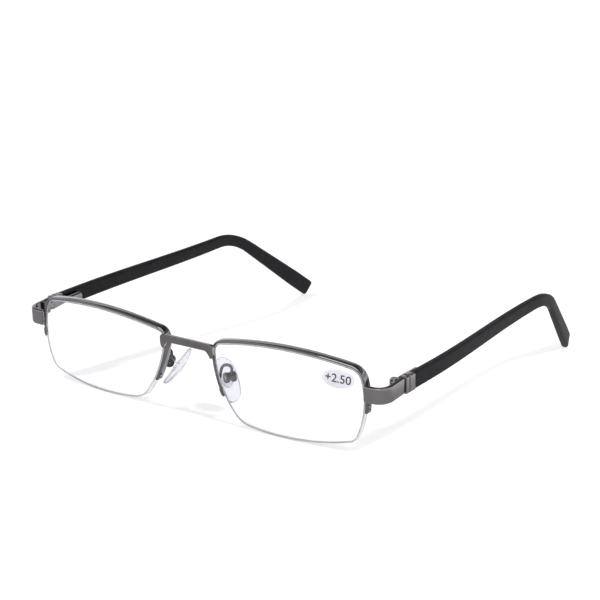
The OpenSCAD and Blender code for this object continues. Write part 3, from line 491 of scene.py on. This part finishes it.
def bump(nodes, links, height, strength, bsdf):
    b = nodes.new("ShaderNodeBump")
    b.inputs["Strength"].default_value = strength
    b.inputs["Distance"].default_value = GRAIN_DEPTH
    links.new(height, b.inputs["Height"])
    links.new(b.outputs["Normal"], bsdf.inputs["Normal"])


def metal(name, dark, light, rough_low, rough_high, grain):
    """Plated metal: a slight cloud in its colour, and fine brush lines in its gloss."""
    m, nodes, links, bsdf = new_material(name)
    bsdf.inputs["Metallic"].default_value = 1.0
    links.new(ramp(nodes, links, noise(nodes, links, 260), dark, light), bsdf.inputs["Base Color"])
    lines = noise(nodes, links, 900, 6, (0.25, 3, 3))
    links.new(ramp(nodes, links, lines, rough_low, rough_high), bsdf.inputs["Roughness"])
    bump(nodes, links, lines, 0.12 * grain, bsdf)
    return m


def black_plastic():
    """Matt black with a fine grain."""
    m, nodes, links, bsdf = new_material("matt_black")
    cloud = noise(nodes, links, 500, 5)
    links.new(ramp(nodes, links, cloud, (0.007, 0.007, 0.0088), (0.012, 0.012, 0.0145)),
              bsdf.inputs["Base Color"])
    grain = noise(nodes, links, 5200, 3)
    links.new(ramp(nodes, links, grain, 0.46, 0.6), bsdf.inputs["Roughness"])
    bump(nodes, links, grain, 0.3, bsdf)
    bsdf.inputs["Specular IOR Level"].default_value = 0.24
    return m


def clear(name, colour, ior, roughness, cloud=0.0, clarity=1.0):
    """A clear or milky material, slightly clouded and worn."""
    m, nodes, links, bsdf = new_material(name)
    bsdf.inputs["Transmission Weight"].default_value = clarity
    bsdf.inputs["IOR"].default_value = ior
    low = tuple(c * (1 - cloud) for c in colour)
    links.new(ramp(nodes, links, noise(nodes, links, 180), low, colour), bsdf.inputs["Base Color"])
    wear = noise(nodes, links, 700)
    links.new(ramp(nodes, links, wear, roughness, roughness * 1.6), bsdf.inputs["Roughness"])
    return m


def film(name, low, high, roughness, clarity=0.0):
    """A printed or pale film."""
    m, nodes, links, bsdf = new_material(name)
    bsdf.inputs["Transmission Weight"].default_value = clarity
    links.new(ramp(nodes, links, noise(nodes, links, 900), low, high), bsdf.inputs["Base Color"])
    wear = noise(nodes, links, 2400)
    links.new(ramp(nodes, links, wear, roughness, roughness * 1.3), bsdf.inputs["Roughness"])
    return m


SATIN = metal("satin_gunmetal", (0.37, 0.352, 0.365), (0.41, 0.39, 0.405), 0.13, 0.18, 0.15)
POLISHED = metal("polished_gunmetal", (0.29, 0.276, 0.285), (0.34, 0.325, 0.335), 0.04, 0.075, 0.2)
# The frame's gunmetal darkened well below the rest: painted shade for the pad arms and barrels seen behind
# the lens
SHADED_GUNMETAL = metal("gunmetal_painted_shade", (0.1, 0.096, 0.1), (0.13, 0.125, 0.129), 0.03, 0.06, 0.2)
STEEL = metal("plain_steel", (0.42, 0.42, 0.44), (0.55, 0.55, 0.57), 0.22, 0.34, 0.6)
BLACK = black_plastic()
LENS = clear("clear_lens", (0.985, 0.99, 1.0), 1.5, 0.0)
GROUND = clear("ground_edge", (0.8, 0.79, 0.86), 1.5, 0.5, 0.02, 0.0)
NYLON = clear("clear_nylon", (0.9, 0.9, 0.94), 1.45, 0.3, 0.04, 0.6)
SILICONE = clear("soft_silicone", (0.85, 0.842, 0.905), 1.24, 0.12, 0.015, 0.8)
HARD_CLEAR = clear("hard_clear_plastic", (0.9, 0.9, 0.95), 1.5, 0.08)
FILM = film("pale_film", (0.87, 0.86, 0.93), (0.92, 0.91, 0.97), 0.3, 0.6)
INK = film("dark_print", (0.02, 0.02, 0.028), (0.032, 0.032, 0.042), 0.5)


# Lenses and what holds them

def lens_point(station, g, depth):
    """A point g outside the outline, at a depth behind the front face."""
    u, v, a = station
    t = math.radians(a)
    pu, pv = u + g * math.cos(t), v + g * math.sin(t)
    return from_lens(pu, sag(pu, pv) + depth, pv)


def make_lens(side):
    """A meniscus with a safety bevel at both faces and a groove all round. Its edge is ground."""
    rim = outline()
    edge = ((0.0, LENS_BEVEL), (0.0, GROOVE_INSET), (-GROOVE_DEPTH, GROOVE_INSET),
            (-GROOVE_DEPTH, GROOVE_END), (0.0, GROOVE_END))

    def ring(g, share, back, lift=0.0):
        """The outline, moved out by g and scaled to a share, on the front or back face."""
        out = []
        for u, v, a in rim:
            t = math.radians(a)
            pu, pv = (u + g * math.cos(t)) * share, (v + g * math.sin(t)) * share
            out.append(from_lens(pu, (back_y(pu, pv) if back else sag(pu, pv)) + lift, pv))
        return out

    rings = [ring(0, s, False) for s in FACE_SHARES] + [ring(-LENS_BEVEL, 1, False)]
    rings += [[lens_point(s, g, d) for s in rim] for g, d in edge]
    rings += [ring(0, 1, True, -LENS_BEVEL), ring(-LENS_BEVEL, 1, True)]
    rings += [ring(0, s, True) for s in reversed(FACE_SHARES)]
    verts, faces = loft(rings, caps=False)
    n = len(rim)
    front, back = len(verts), len(verts) + 1
    verts += [from_lens(0, 0, 0), from_lens(0, LENS_T, 0)]
    last = (len(rings) - 1) * n
    faces += [(front, k, (k + 1) % n) for k in range(n)]
    faces += [(back, last + (k + 1) % n, last + k) for k in range(n)]
    obj = make(f"lens_{side}_shape", side, verts, faces, 30)
    dress(obj, "front", LENS, "lens", f"lens_{side}")
    obj.data.materials.append(GROUND)
    across = STAND @ Vector((0, 1, 0))
    for p in obj.data.polygons:
        if abs(p.normal.dot(across)) < GROUND_BELOW:
            p.material_index = 1


def on_side(i, angle, g, back, along):
    """A point beside the rim's end: g outside the outline, back in depth and along the outline."""
    cu, cv, r = SIDE_ARCS[i]
    t = math.radians(angle)
    c, s = math.cos(t), math.sin(t)
    pu, pv = cu + r * c, cv + r * s
    base = sag(pu, pv) + CORD_DEPTH
    return from_lens(pu + g * c - along * s, base + back, pv + g * s + along * c)


def make_rim(side):
    """The channelled wire over the top of the lens, with a boss at each end."""
    parts = [loft([[lens_point(s, g, d) for g, d in RIM_SECTION] for s in upper_path()])]
    boss = ((RIM_OUTER - BOSS_SINK, RIM_OUTER + BOSS_RISE), (-BOSS_DEPTH / 2, BOSS_DEPTH / 2),
            (-BOSS_LEN / 2, BOSS_LEN / 2))
    for i, angle in RIM_ENDS:
        parts.append(rounded_box(lambda x, y, z: on_side(i, angle, x, y, z), boss, BOSS_ROUND))
    obj = make(f"half_rim_{side}_shape", side, *merge(*parts), 34)
    dress(obj, "front", POLISHED, "frame_metal", f"half_rim_{side}")


def make_cord(side):
    """The nylon cord in the lens's groove, with its ends out through the holes in the rim's bosses."""
    rings = []
    back = from_lens(0, 1, 0) - from_lens(0, 0, 0)
    for u, v, a in lower_path(CORD_TUCK):
        t = math.radians(a)
        out = from_lens(math.cos(t), 0, math.sin(t)) - from_lens(0, 0, 0)
        middle = lens_point((u, v, a), CORD_G, CORD_DEPTH)
        rings.append(circle_ring(middle, out, back, CORD_R, CORD_POINTS))
    parts = [loft(rings)]
    for i, angle in RIM_ENDS:
        for s in (-1, 1):
            root, end = (on_side(i, angle, g, 0, s * HOLE_PITCH / 2)
                         for g in (CORD_G, RIM_OUTER + BOSS_RISE - CORD_END_SINK))
            axis = (end - root).normalized()
            e = axis.cross(back).normalized()
            stops = [(root, 1.0), (end, 1.0)] + [(end + axis * rise, share) for rise, share in CORD_DOME]
            parts.append(loft([circle_ring(c, e, back, CORD_R * share, CORD_POINTS) for c, share in stops]))
    obj = make(f"nylon_cord_{side}_shape", side, *merge(*parts))
    dress(obj, "front", NYLON, "nylon", f"nylon_cord_{side}")


# Bridge

def curve(a, b, c):
    """Points on a quadratic curve."""
    a, b, c = Vector(a), Vector(b), Vector(c)
    return [(1 - t) ** 2 * a + 2 * t * (1 - t) * b + t * t * c
            for t in (i / CURVE_STEPS for i in range(CURVE_STEPS + 1))]


def half_bar():
    """Half the bridge's outline, from the top of its foot to the lower edge of the bar."""
    foot_x, tip_x, tip_z = NOSE_W / 2 + FOOT_REACH, NOSE_W / 2, BRIDGE_Z - FLARE_DROP
    return (curve((foot_x - FOOT_H / 2, BAR_TOP), (foot_x, BAR_TOP), (foot_x, BAR_TOP - FOOT_H / 2))
            + curve((foot_x, BAR_TOP - FOOT_H), (foot_x, BRIDGE_Z - FLARE_DROP / 2), (tip_x, tip_z))
            + curve((tip_x - FLARE_TIP, tip_z), (tip_x - FLARE_LEN / 2, BRIDGE_Z - FLARE_DROP * 0.3),
                    (tip_x - FLARE_LEN, BRIDGE_Z)))


def make_bridge():
    half = half_bar()
    line = half + [Vector((-p.x, p.y)) for p in reversed(half)]
    rings = [[Vector((p.x, y, p.y)) for p in line] for y in (BRIDGE_Y, BRIDGE_Y + BRIDGE_T)]
    obj = make("bridge_shape", "left", *loft(rings))
    soften(obj, BRIDGE_ROUND)
    dress(obj, "front", POLISHED, "frame_metal", "bridge")


# End pieces

def end_stations():
    """Along the plate: (point on its outer face, outward direction, thickness, distance from the start)."""
    lap_dir = Vector((math.cos(WRAP), math.sin(WRAP)))
    out_dir = Vector((math.sin(WRAP), -math.cos(WRAP)))
    start = Vector((LAP_START.x, LAP_START.y))
    centre = Vector((BEND_X, BEND_CY))
    run = (centre + END_R * out_dir - start).length
    turn = math.radians(90) - WRAP
    lap = RIM_OUTER + LAP_OVER
    lap_stops = [(s, LAP_T) for s in (0, 0.12, 0.3, 0.55, lap - LAP_STEP)]
    lap_stops += [(s, END_T) for s in (lap, lap + 0.3, run * 0.7, run)]
    stations = [(start + s * lap_dir, out_dir, t, s) for s, t in lap_stops]
    for i in range(1, END_BEND_STEPS + 1):
        a = math.radians(-90) + WRAP + turn * i / END_BEND_STEPS
        d = Vector((math.cos(a), math.sin(a)))
        stations.append((centre + END_R * d, d, END_T, run + END_R * turn * i / END_BEND_STEPS))
    arc_len = END_R * turn
    for y in (0.5, BUTT_LEN * 0.5, BUTT_LEN - 0.6, BUTT_LEN - END_EASE, BUTT_LEN):
        stations.append((Vector((FACE_X, BEND_CY + y)), Vector((1, 0)), END_T, run + arc_len + y))
    return stations


def corner_cut(s, r):
    """How far a round corner of radius r takes the edge in, at a distance s from the end."""
    return r * (1 - math.sqrt(max(0, 1 - (1 - min(s / r, 1)) ** 2)))


def make_end_piece(side):
    """The plate from the rim's front round to the joint face, with round front edges."""
    stations = end_stations()
    length = stations[-1][3]
    rings = []
    for p, out, t, s in stations:
        mid = LAP_Z + (p.y - LAP_START.y) * END_RISE
        shrink = END_EASE if s in (0, length) else 0.0
        top = mid + END_H / 2 - corner_cut(s, HIGH_CORNER_R) - shrink
        low = mid - END_H / 2 + corner_cut(s, LOW_CORNER_R) + shrink

        def edge(z, up):
            return [(-d - shrink, z - up * cut) for d, cut in END_EDGE] + [
                (-END_EDGE_DEPTH, z), (-t + END_BACK_EASE, z), (-t + shrink, z - up * END_BACK_EASE)]

        profile = edge(top, 1) + edge(low, -1)[::-1]
        rings.append([Vector((p.x + out.x * d, p.y + out.y * d, z)) for d, z in profile])
    obj = make(f"end_piece_{side}_shape", side, *loft(rings), 26)
    dress(obj, "front", SATIN, "frame_metal", f"end_piece_{side}")


# Temples

def bowed(s):
    """How far the arm has come inwards."""
    t = min(max((s - BOX_RUN) / (STRAIGHT_LEN - BOX_RUN), 0), 1)
    return BOW * (1 - math.cos(math.pi * t)) / 2


def arm_point(s):
    """The arm's middle at a distance along it."""
    if s < STRAIGHT_LEN:
        return Vector((CORE_X - bowed(s), ARM_Y + s, TEMPLE_Z))
    a = min((s - STRAIGHT_LEN) / BEND_R, BEND_ANGLE)
    rest = max(s - STRAIGHT_LEN - ARC_LEN, 0)
    turn = math.sin(a) * Vector((0, 1, 0)) + (1 - math.cos(a)) * BEND_SIDE
    return Vector((CORE_X - BOW, ARC_Y, TEMPLE_Z)) + BEND_R * turn + rest * TIP_DIR


def arm_dir(s):
    a = max(0, min((s - STRAIGHT_LEN) / BEND_R, BEND_ANGLE))
    return math.cos(a) * Vector((0, 1, 0)) + math.sin(a) * BEND_SIDE


def lookup(x, table):
    for (x0, y0), (x1, y1) in zip(table, table[1:]):
        if x <= x1:
            return y0 + (y1 - y0) * max(0, x - x0) / (x1 - x0)
    return table[-1][1]


def bar_section(w, h, r):
    """A rounded rectangle."""
    out = []
    for k, (sx, sy) in enumerate(((1, 1), (-1, 1), (-1, -1), (1, -1))):
        for j in range(ARM_CORNER_POINTS):
            a = math.radians(90 * (k + j / (ARM_CORNER_POINTS - 1)))
            out.append((sx * (w / 2 - r) + r * math.cos(a), sy * (h / 2 - r) + r * math.sin(a)))
    return out


def arm_ring(s, shrink=0.0):
    d = arm_dir(s)
    e = d.cross(Vector((0, 0, 1))).normalized()
    f = e.cross(d)
    thick, height = lookup(s / ARM_LEN, ARM_THICKS), lookup(s / ARM_LEN, ARM_HEIGHTS)
    w, h = thick - shrink, height - shrink
    # a corner takes a little less than half the width
    r = min(thick * ARM_CORNER_SHARE, w * 0.49)
    return [arm_point(s) + x * e + y * f for x, y in bar_section(w, h, r)]


def box_line(y0, g, drop=0.0):
    """The spring box's outline from the inside, flat in front and round behind, larger by g."""
    half = BOX_H / 2 + g
    centre = BOX_END - BOX_H / 2
    line = [(y0, -half), (centre, -half)]
    line += [(centre + half * math.sin(a), -half * math.cos(a))
             for a in (math.pi * i / BOX_STEPS for i in range(1, BOX_STEPS))]
    return [(y, min(z, half - drop)) for y, z in line + [(centre, half), (y0, half)]]


def box_ring(x, line):
    return [Vector((x, y, TEMPLE_Z + z)) for y, z in line]


def make_arm(side):
    """The black arm, with a slightly eased front edge, a round end and the spring box's pocket."""
    rings = [arm_ring(s, smaller) for s, smaller in ARM_EASE]
    first, last = ARM_EASE[-1][0], ARM_LEN - ARM_ROUND
    rings += [arm_ring(first + (last - first) * i / ARM_STEPS) for i in range(1, ARM_STEPS + 1)]
    for a in (12, 26, 40, 54, 66, 76, 84):
        t = math.sin(math.radians(a))
        cut = 2 * ARM_ROUND * (1 - math.sqrt(1 - t * t)) * TIP_TAPER
        rings.append(arm_ring(last + (ARM_ROUND - TIP_SHORT) * t, cut))
    obj = make(f"temple_arm_{side}_shape", side, *loft(rings), ARM_SMOOTH_ANGLE)
    line = box_line(ARM_Y - CUTTER_OUT, BOX_FIT)
    pocket = [box_ring(x, line) for x in (INNER_X - CUTTER_OUT, BOX_X + BOX_FIT)]
    cutter = make("pocket", side, *loft(pocket))
    trim = obj.modifiers.new("pocket", "BOOLEAN")
    trim.object, trim.operation, trim.solver = cutter, "DIFFERENCE", "EXACT"
    cut_mesh = evaluated_mesh(obj)
    obj.modifiers.remove(trim)
    obj.data = cut_mesh
    shade(cut_mesh, ARM_SMOOTH_ANGLE)
    bpy.data.objects.remove(cutter)
    dress(obj, f"{side}_temple", BLACK, "temple_black", f"temple_arm_{side}")


def cap_stops():
    """Along the cap: (distance from the joint face, how much smaller, depth of the groove)."""
    ease, length = CAP_EASE, CAP_LEN
    groove0, groove1 = CAP_STRIP, CAP_STRIP + CAP_GROOVE_W
    strip = [(0, ease), (ease * 0.4, ease * 0.35), (ease, 0),
             (groove0 - ease, 0), (groove0 - ease * 0.4, ease * 0.35), (groove0, ease * 0.8)]
    block = [(groove1, ease * 0.8), (groove1 + ease * 0.6, ease * 0.35), (groove1 + ease, 0),
             (length - ease, 0), (length - ease * 0.4, ease * 0.35), (length, ease)]
    groove = [(y, 0, CAP_GROOVE) for y in (groove0 + CAP_GROOVE_WALL, groove1 - CAP_GROOVE_WALL)]
    return [(y, cut, 0) for y, cut in strip] + groove + [(y, cut, 0) for y, cut in block]


def make_cap(side):
    """The metal cap at the joint face: a strip, a groove and a block, eased, with the box's pocket."""
    z0, z1 = TEMPLE_Z - TEMPLE_H / 2, TEMPLE_Z + TEMPLE_H / 2
    c, inner = CAP_CHAMFER, CAP_INNER_EASE
    pocket_x = BOX_X + BOX_FIT
    pocket_low, pocket_high = TEMPLE_Z - BOX_H / 2 - BOX_FIT, TEMPLE_Z + BOX_H / 2 + BOX_FIT
    rings = []
    for y, cut, groove in cap_stops():
        x0, x1 = INNER_X + cut * 0.5, TEMPLE_X - cut - groove
        low, high = z0 + cut + groove, z1 - cut - groove
        line = [(x1 - c * a, high - c * b) for a, b in CHAMFER]
        line += [(x0 + inner, high), (x0, high - inner), (x0, pocket_high), (pocket_x, pocket_high),
                 (pocket_x, pocket_low), (x0, pocket_low), (x0, low + inner), (x0 + inner, low)]
        line += [(x1 - c * a, low + c * b) for a, b in reversed(CHAMFER)]
        rings.append([Vector((x, CAP_Y + y, z)) for x, z in line])
    obj = make(f"temple_cap_{side}_shape", side, *loft(rings), 26)
    dress(obj, f"{side}_temple", SATIN, "frame_metal", f"temple_cap_{side}")


def make_spring_box(side):
    """The box on the temple's inner side, open in front for the slider's shank, with a round rear end."""
    layers = [(BOX_ROUND * (1 - math.sin(t)), BOX_ROUND * (1 - math.cos(t)))
              for t in (math.radians(a) for a in (0, 22, 45, 68, 90))] + [(0, BOX_W)]
    rings = [box_ring(BOX_X - BOX_W + dx, box_line(BOX_Y, -inset, BOX_DROP)) for inset, dx in layers]
    verts, faces = loft(rings, closed=False)
    # the front face is a frame round the shank's square channel
    n, last = len(rings[0]), (len(rings) - 1) * len(rings[0])
    c = SHANK_W / 2 + SHANK_FIT
    hole = [(SCREW_X - c, -c), (SCREW_X + c, -c), (SCREW_X + c, c), (SCREW_X - c, c)]
    base = len(verts)
    verts += [Vector((x, BOX_Y + d, TEMPLE_Z + z)) for d in (0, MOUTH_LEN) for x, z in hole]
    low = range(0, last + 1, n)
    high = range(last + n - 1, 0, -n)
    faces.append((*low, base + 1, base))
    faces.append((last, last + n - 1, base + 2, base + 1))
    faces.append((*high, base + 3, base + 2))
    faces.append((n - 1, 0, base, base + 3))
    for k in range(4):
        j = (k + 1) % 4
        faces.append((base + k, base + j, base + 4 + j, base + 4 + k))
    faces.append((base + 4, base + 5, base + 6, base + 7))
    obj = make(f"spring_box_{side}_shape", side, verts, faces)
    dress(obj, f"{side}_temple", SATIN, "frame_metal", f"spring_box_{side}")


# Nose pads and their arms

def from_pad(x, y, z):
    """From the pad's own frame: -x to the nose, y along its screw and z along the pad."""
    return PAD_AT + PAD_ROT @ Vector((x, y, z))


def oval(share, depth, inset=0.0):
    """A ring round the pad. depth(y, z) gives its x."""
    out = []
    for k in range(PAD_POINTS):
        a = 2 * math.pi * k / PAD_POINTS
        w, h = PAD_W / 2 - inset, PAD_LEN / 2 - inset
        c, s = math.cos(a), math.sin(a)
        q = (abs(c) ** PAD_POWER + abs(s) ** PAD_POWER) ** (-1 / PAD_POWER)
        y, z = share * w * c * q, share * h * s * q
        out.append(from_pad(depth(y, z), y, z))
    return out


def make_pad(side):
    """A crowned oval pad with a round rim and a flat back."""
    def crown(y, z):
        return -(PAD_OFF + PAD_T) + PAD_CROWN_R - math.sqrt(PAD_CROWN_R ** 2 - y * y - z * z)

    rings = [oval(share, crown) for share in PAD_SHARES]
    for a in (20, 45, 70, 90):
        t = math.radians(a)
        rings.append(oval(
            1, lambda y, z: min(crown(y, z) + PAD_EASE * (1 - math.cos(t)), -PAD_OFF - PAD_EASE * 0.5),
            PAD_EASE * (1 - math.sin(t))))
    for a in (90, 45, 0):
        t = math.radians(a)
        rings.append(oval(1, lambda y, z: -PAD_OFF - PAD_BACK_EASE * (1 - math.cos(t)),
                          PAD_BACK_EASE * (1 - math.sin(t))))
    rings += [oval(share, lambda y, z: -PAD_OFF) for share in PAD_BACK_SHARES]
    obj = make(f"nose_pad_{side}_shape", side, *loft(rings), 60)
    dress(obj, f"{side}_pad", SILICONE, "nose_pad", f"nose_pad_{side}")


def bezier(p, t):
    return (1 - t) ** 3 * p[0] + 3 * t * (1 - t) ** 2 * p[1] + 3 * t * t * (1 - t) * p[2] + t ** 3 * p[3]


def wire_path():
    """The pad arm's middle, from the rim's back over a loop to the barrel."""
    cu, cv, r = SIDE_ARCS[NOSE_SIDE]
    a = math.pi + math.asin((cv - WIRE_ROOT_V) / r)
    root_u = cu + r * math.cos(a) - (RIM_GAP + RIM_W / 2)
    root = from_lens(root_u, sag(root_u, WIRE_ROOT_V) + RIM_BACK - 0.1, WIRE_ROOT_V)
    end = from_pad(BARREL_R - 0.15, 0, 0.5)
    top, lean = (root + end) / 2 + Vector((-0.6, 1.2, 2.7)), Vector((1.5, 0.8, 0.3))
    out = [root, root + Vector((-0.2, 1.6, 0.2)), top - lean, top]
    back = [top, top + lean, end + Vector((0.9, 0.1, 2)), end]
    steps = [i / WIRE_STEPS for i in range(WIRE_STEPS + 1)]
    return [bezier(out, t) for t in steps] + [bezier(back, t) for t in steps[1:]]


def make_pad_arm(side):
    path = wire_path()
    rings = []
    side_dir = Vector((0.5, 0.8, -0.2))
    for i, p in enumerate(path):
        d = (path[min(i + 1, len(path) - 1)] - path[max(i - 1, 0)]).normalized()
        e = d.cross(side_dir).normalized()
        rings.append(circle_ring(p, e, d.cross(e), WIRE_D / 2, WIRE_POINTS))
    obj = make(f"pad_arm_{side}_shape", side, *loft(rings))
    # The pad arm takes the darkened gunmetal, which is painted shade
    dress(obj, "front", SHADED_GUNMETAL, "frame_metal", f"pad_arm_{side}")


# Sticker

def on_lens(u, v, lift):
    return from_lens(u, sag(u, v) - lift, v)


def make_sticker():
    rings = []
    for share, lift in STICKER_RINGS:
        ring = []
        for k in range(STICKER_POINTS):
            t = 2 * math.pi * k / STICKER_POINTS
            u, v = STICKER_W / 2 * share * math.cos(t), STICKER_H / 2 * share * math.sin(t)
            ring.append(on_lens(STICKER_U + u, STICKER_V + v, STICKER_T * lift))
        rings.append(ring)
    obj = make("power_sticker_shape", "left", *loft(rings))
    dress(obj, "front", FILM, "sticker", "power_sticker")


def make_digits():
    """The lens strength, plain digits on the sticker."""
    text = bpy.data.curves.new("digits", "FONT")
    text.body, text.size, text.offset = DIGITS, DIGIT_SIZE, DIGIT_WEIGHT
    text.align_x, text.align_y = "CENTER", "CENTER"
    text.resolution_u = 6
    holder = add_object("digits_text", text)
    flat = evaluated_mesh(holder)
    bpy.data.objects.remove(holder)
    bm = bmesh.new()
    bm.from_mesh(flat)
    bmesh.ops.solidify(bm, geom=bm.faces, thickness=INK_T)
    turn = Matrix.Rotation(DIGIT_TURN, 3, "Z")
    # the top is at z = 0 and the underside at -INK_T
    for v in bm.verts:
        lift = INK_TOP if v.co.z > -INK_T / 2 else INK_LOW
        p = turn @ v.co
        v.co = place(on_lens(STICKER_U + p.x, STICKER_V + p.y, STICKER_T + lift))
    obj = finish_mesh("power_digits", bm)
    dress(obj, "front", INK, "sticker")


# Finish of the frame's own nodes that stay

def finish_cad():
    # The pad barrels take the darkened gunmetal, which is painted shade
    keep = {"rim_liner": NYLON, "hinge_leaf": SATIN, "hinge_screw": STEEL, "hinge_slider": STEEL,
            "slider_nut": STEEL, "hinge_spring": STEEL, "box_plug": STEEL, "temple_core": STEEL,
            "pad_barrel": SHADED_GUNMETAL, "pad_screw": STEEL, "pad_insert": HARD_CLEAR}
    for stem, material in keep.items():
        for side in SIDES:
            paint(frame["nodes"][f"{stem}_{side}"], material)


# Camera, floor and light

def make_camera():
    """The photograph's view: a long lens from the wearer's left, slightly above."""
    data = bpy.data.cameras.new("camera")
    data.sensor_width, data.lens = CAMERA_SENSOR, CAMERA_LENS
    data.clip_start, data.clip_end = 0.01, 20
    cam = add_object("camera", data)
    right, up, ahead = (STAND @ Vector(v) for v in CAMERA_AXES)
    turn = Matrix((right, up, -ahead)).transposed().to_4x4()
    cam.matrix_world = Matrix.Translation(place(CAMERA_AT)) @ turn
    bpy.context.scene.camera = cam


def split_rays(nodes, links, output, usual, mirrored, seen):
    """One shader for glossy rays, one for the camera and through clear pieces, and one for the rest."""
    out = nodes.new(output)
    first, second = nodes.new("ShaderNodeMixShader"), nodes.new("ShaderNodeMixShader")
    path, directly = nodes.new("ShaderNodeLightPath"), nodes.new("ShaderNodeMath")
    directly.operation = "MAXIMUM"
    links.new(path.outputs["Is Camera Ray"], directly.inputs[0])
    links.new(path.outputs["Is Transmission Ray"], directly.inputs[1])
    links.new(path.outputs["Is Glossy Ray"], first.inputs["Fac"])
    links.new(usual, first.inputs[1])
    links.new(mirrored, first.inputs[2])
    links.new(directly.outputs["Value"], second.inputs["Fac"])
    links.new(first.outputs["Shader"], second.inputs[1])
    links.new(seen, second.inputs[2])
    links.new(second.outputs["Shader"], out.inputs["Surface"])


def map_range(nodes, links, value, start, end, low, high):
    m = nodes.new("ShaderNodeMapRange")
    for socket, number in (("From Min", start), ("From Max", end), ("To Min", low), ("To Max", high)):
        m.inputs[socket].default_value = number
    links.new(value, m.inputs["Value"])
    return m


def make_floor():
    """Pale ground: white to the camera with faint shadows, and grey in reflections, darker in front."""
    bm = bmesh.new()
    bmesh.ops.create_grid(bm, x_segments=1, y_segments=1, size=FLOOR_HALF)
    obj = finish_mesh("floor", bm)
    obj.location.z = -FLOOR_DROP
    m = bpy.data.materials.new("pale_floor")
    m.use_nodes = True
    nodes, links = m.node_tree.nodes, m.node_tree.links
    nodes.clear()
    plain, thin = nodes.new("ShaderNodeBsdfDiffuse"), nodes.new("ShaderNodeBsdfDiffuse")
    plain.inputs["Color"].default_value = (FLOOR_GREY, FLOOR_GREY, FLOOR_GREY, 1)
    thin.inputs["Color"].default_value = (SEEN_GREY, SEEN_GREY, SEEN_GREY, 1)
    glow, mirrored = nodes.new("ShaderNodeEmission"), nodes.new("ShaderNodeEmission")
    glow.inputs["Color"].default_value = (1, 1, 1, 1)
    seen = nodes.new("ShaderNodeAddShader")
    links.new(thin.outputs["BSDF"], seen.inputs[0])
    links.new(glow.outputs["Emission"], seen.inputs[1])
    # the glow grows with the distance from the middle
    point, away = nodes.new("ShaderNodeNewGeometry"), nodes.new("ShaderNodeVectorMath")
    away.operation = "LENGTH"
    links.new(point.outputs["Position"], away.inputs[0])
    fade = map_range(nodes, links, away.outputs["Value"], GLOW_FROM, GLOW_TO, FLOOR_GLOW, FLOOR_FAR_GLOW)
    fade.interpolation_type = "SMOOTHSTEP"
    links.new(fade.outputs["Result"], glow.inputs["Strength"])
    # what the metal reflects is brighter behind the object
    split = nodes.new("ShaderNodeSeparateXYZ")
    links.new(point.outputs["Position"], split.inputs["Vector"])
    rise = map_range(nodes, links, split.outputs["Y"], MIRRORED_FROM, MIRRORED_TO,
                     MIRRORED_FRONT, MIRRORED_BEHIND)
    links.new(rise.outputs["Result"], mirrored.inputs["Strength"])
    split_rays(nodes, links, "ShaderNodeOutputMaterial", plain.outputs["BSDF"], mirrored.outputs["Emission"],
               seen.outputs["Shader"])
    obj.data.materials.append(m)


def make_world():
    """White behind the object and soft even light. Reflections run from bright at the horizon over a grey dip
    to dark, with one narrow pale strip, and end in grey overhead."""
    world = bpy.data.worlds.new("studio")
    bpy.context.scene.world = world
    world.use_nodes = True
    nodes, links = world.node_tree.nodes, world.node_tree.links
    nodes.clear()
    lit, seen, mirrored = (nodes.new("ShaderNodeBackground") for _ in range(3))
    for b, strength in ((lit, WORLD_LIT), (seen, WORLD_SEEN), (mirrored, WORLD_SEEN)):
        b.inputs["Color"].default_value = (1, 1, 1, 1)
        b.inputs["Strength"].default_value = strength
    coords, split = nodes.new("ShaderNodeTexCoord"), nodes.new("ShaderNodeSeparateXYZ")
    links.new(coords.outputs["Generated"], split.inputs["Vector"])
    grade = nodes.new("ShaderNodeValToRGB")
    stops = grade.color_ramp.elements
    while len(stops) < len(WORLD_GRADE):
        stops.new(0.5)
    for e, (z, level) in zip(stops, WORLD_GRADE):
        e.position = z
        e.color = (level, level, level, 1)
    links.new(split.outputs["Z"], grade.inputs["Fac"])
    links.new(grade.outputs["Color"], mirrored.inputs["Color"])
    split_rays(nodes, links, "ShaderNodeOutputWorld", lit.outputs["Background"],
               mirrored.outputs["Background"], seen.outputs["Background"])


def add_lamp(name, kind, power, at, aim):
    data = bpy.data.lights.new(name, kind)
    data.energy = power
    obj = add_object(name, data)
    obj.location = at
    obj.rotation_euler = (Vector(aim) - Vector(at)).to_track_quat("-Z", "Y").to_euler()
    return obj


def make_side_lamp(name, x):
    """Lights its own half of the floor, so that the temple's shadow falls inwards. It isn't reflected."""
    at, aim = (x, SIDE_LAMP_Y, SIDE_LAMP_Z), (x * SIDE_AIM_SHARE, SIDE_AIM_Y, 0)
    lamp = add_lamp(name, "SPOT", SIDE_POWER, at, aim)
    lamp.data.shadow_soft_size = SIDE_RADIUS
    lamp.data.spot_size, lamp.data.spot_blend = SIDE_CONE, SIDE_BLEND
    lamp.visible_glossy = False


def make_fill():
    """A weak soft lamp in front."""
    lamp = add_lamp("front_fill", "AREA", FILL_POWER, FILL_AT, FILL_AIM)
    lamp.data.shape = "RECTANGLE"
    lamp.data.size, lamp.data.size_y = FILL_SIZE


make_camera()
make_floor()
make_world()
make_side_lamp("left_key", SIDE_LAMP_X)
make_side_lamp("right_key", -SIDE_LAMP_X)
make_fill()
finish_cad()
make_bridge()
make_sticker()
make_digits()
for wearer_side in SIDES:
    make_lens(wearer_side)
    make_rim(wearer_side)
    make_cord(wearer_side)
    make_end_piece(wearer_side)
    make_arm(wearer_side)
    make_cap(wearer_side)
    make_spring_box(wearer_side)
    make_pad(wearer_side)
    make_pad_arm(wearer_side)

bpy.context.scene.view_settings.view_transform = "Standard"
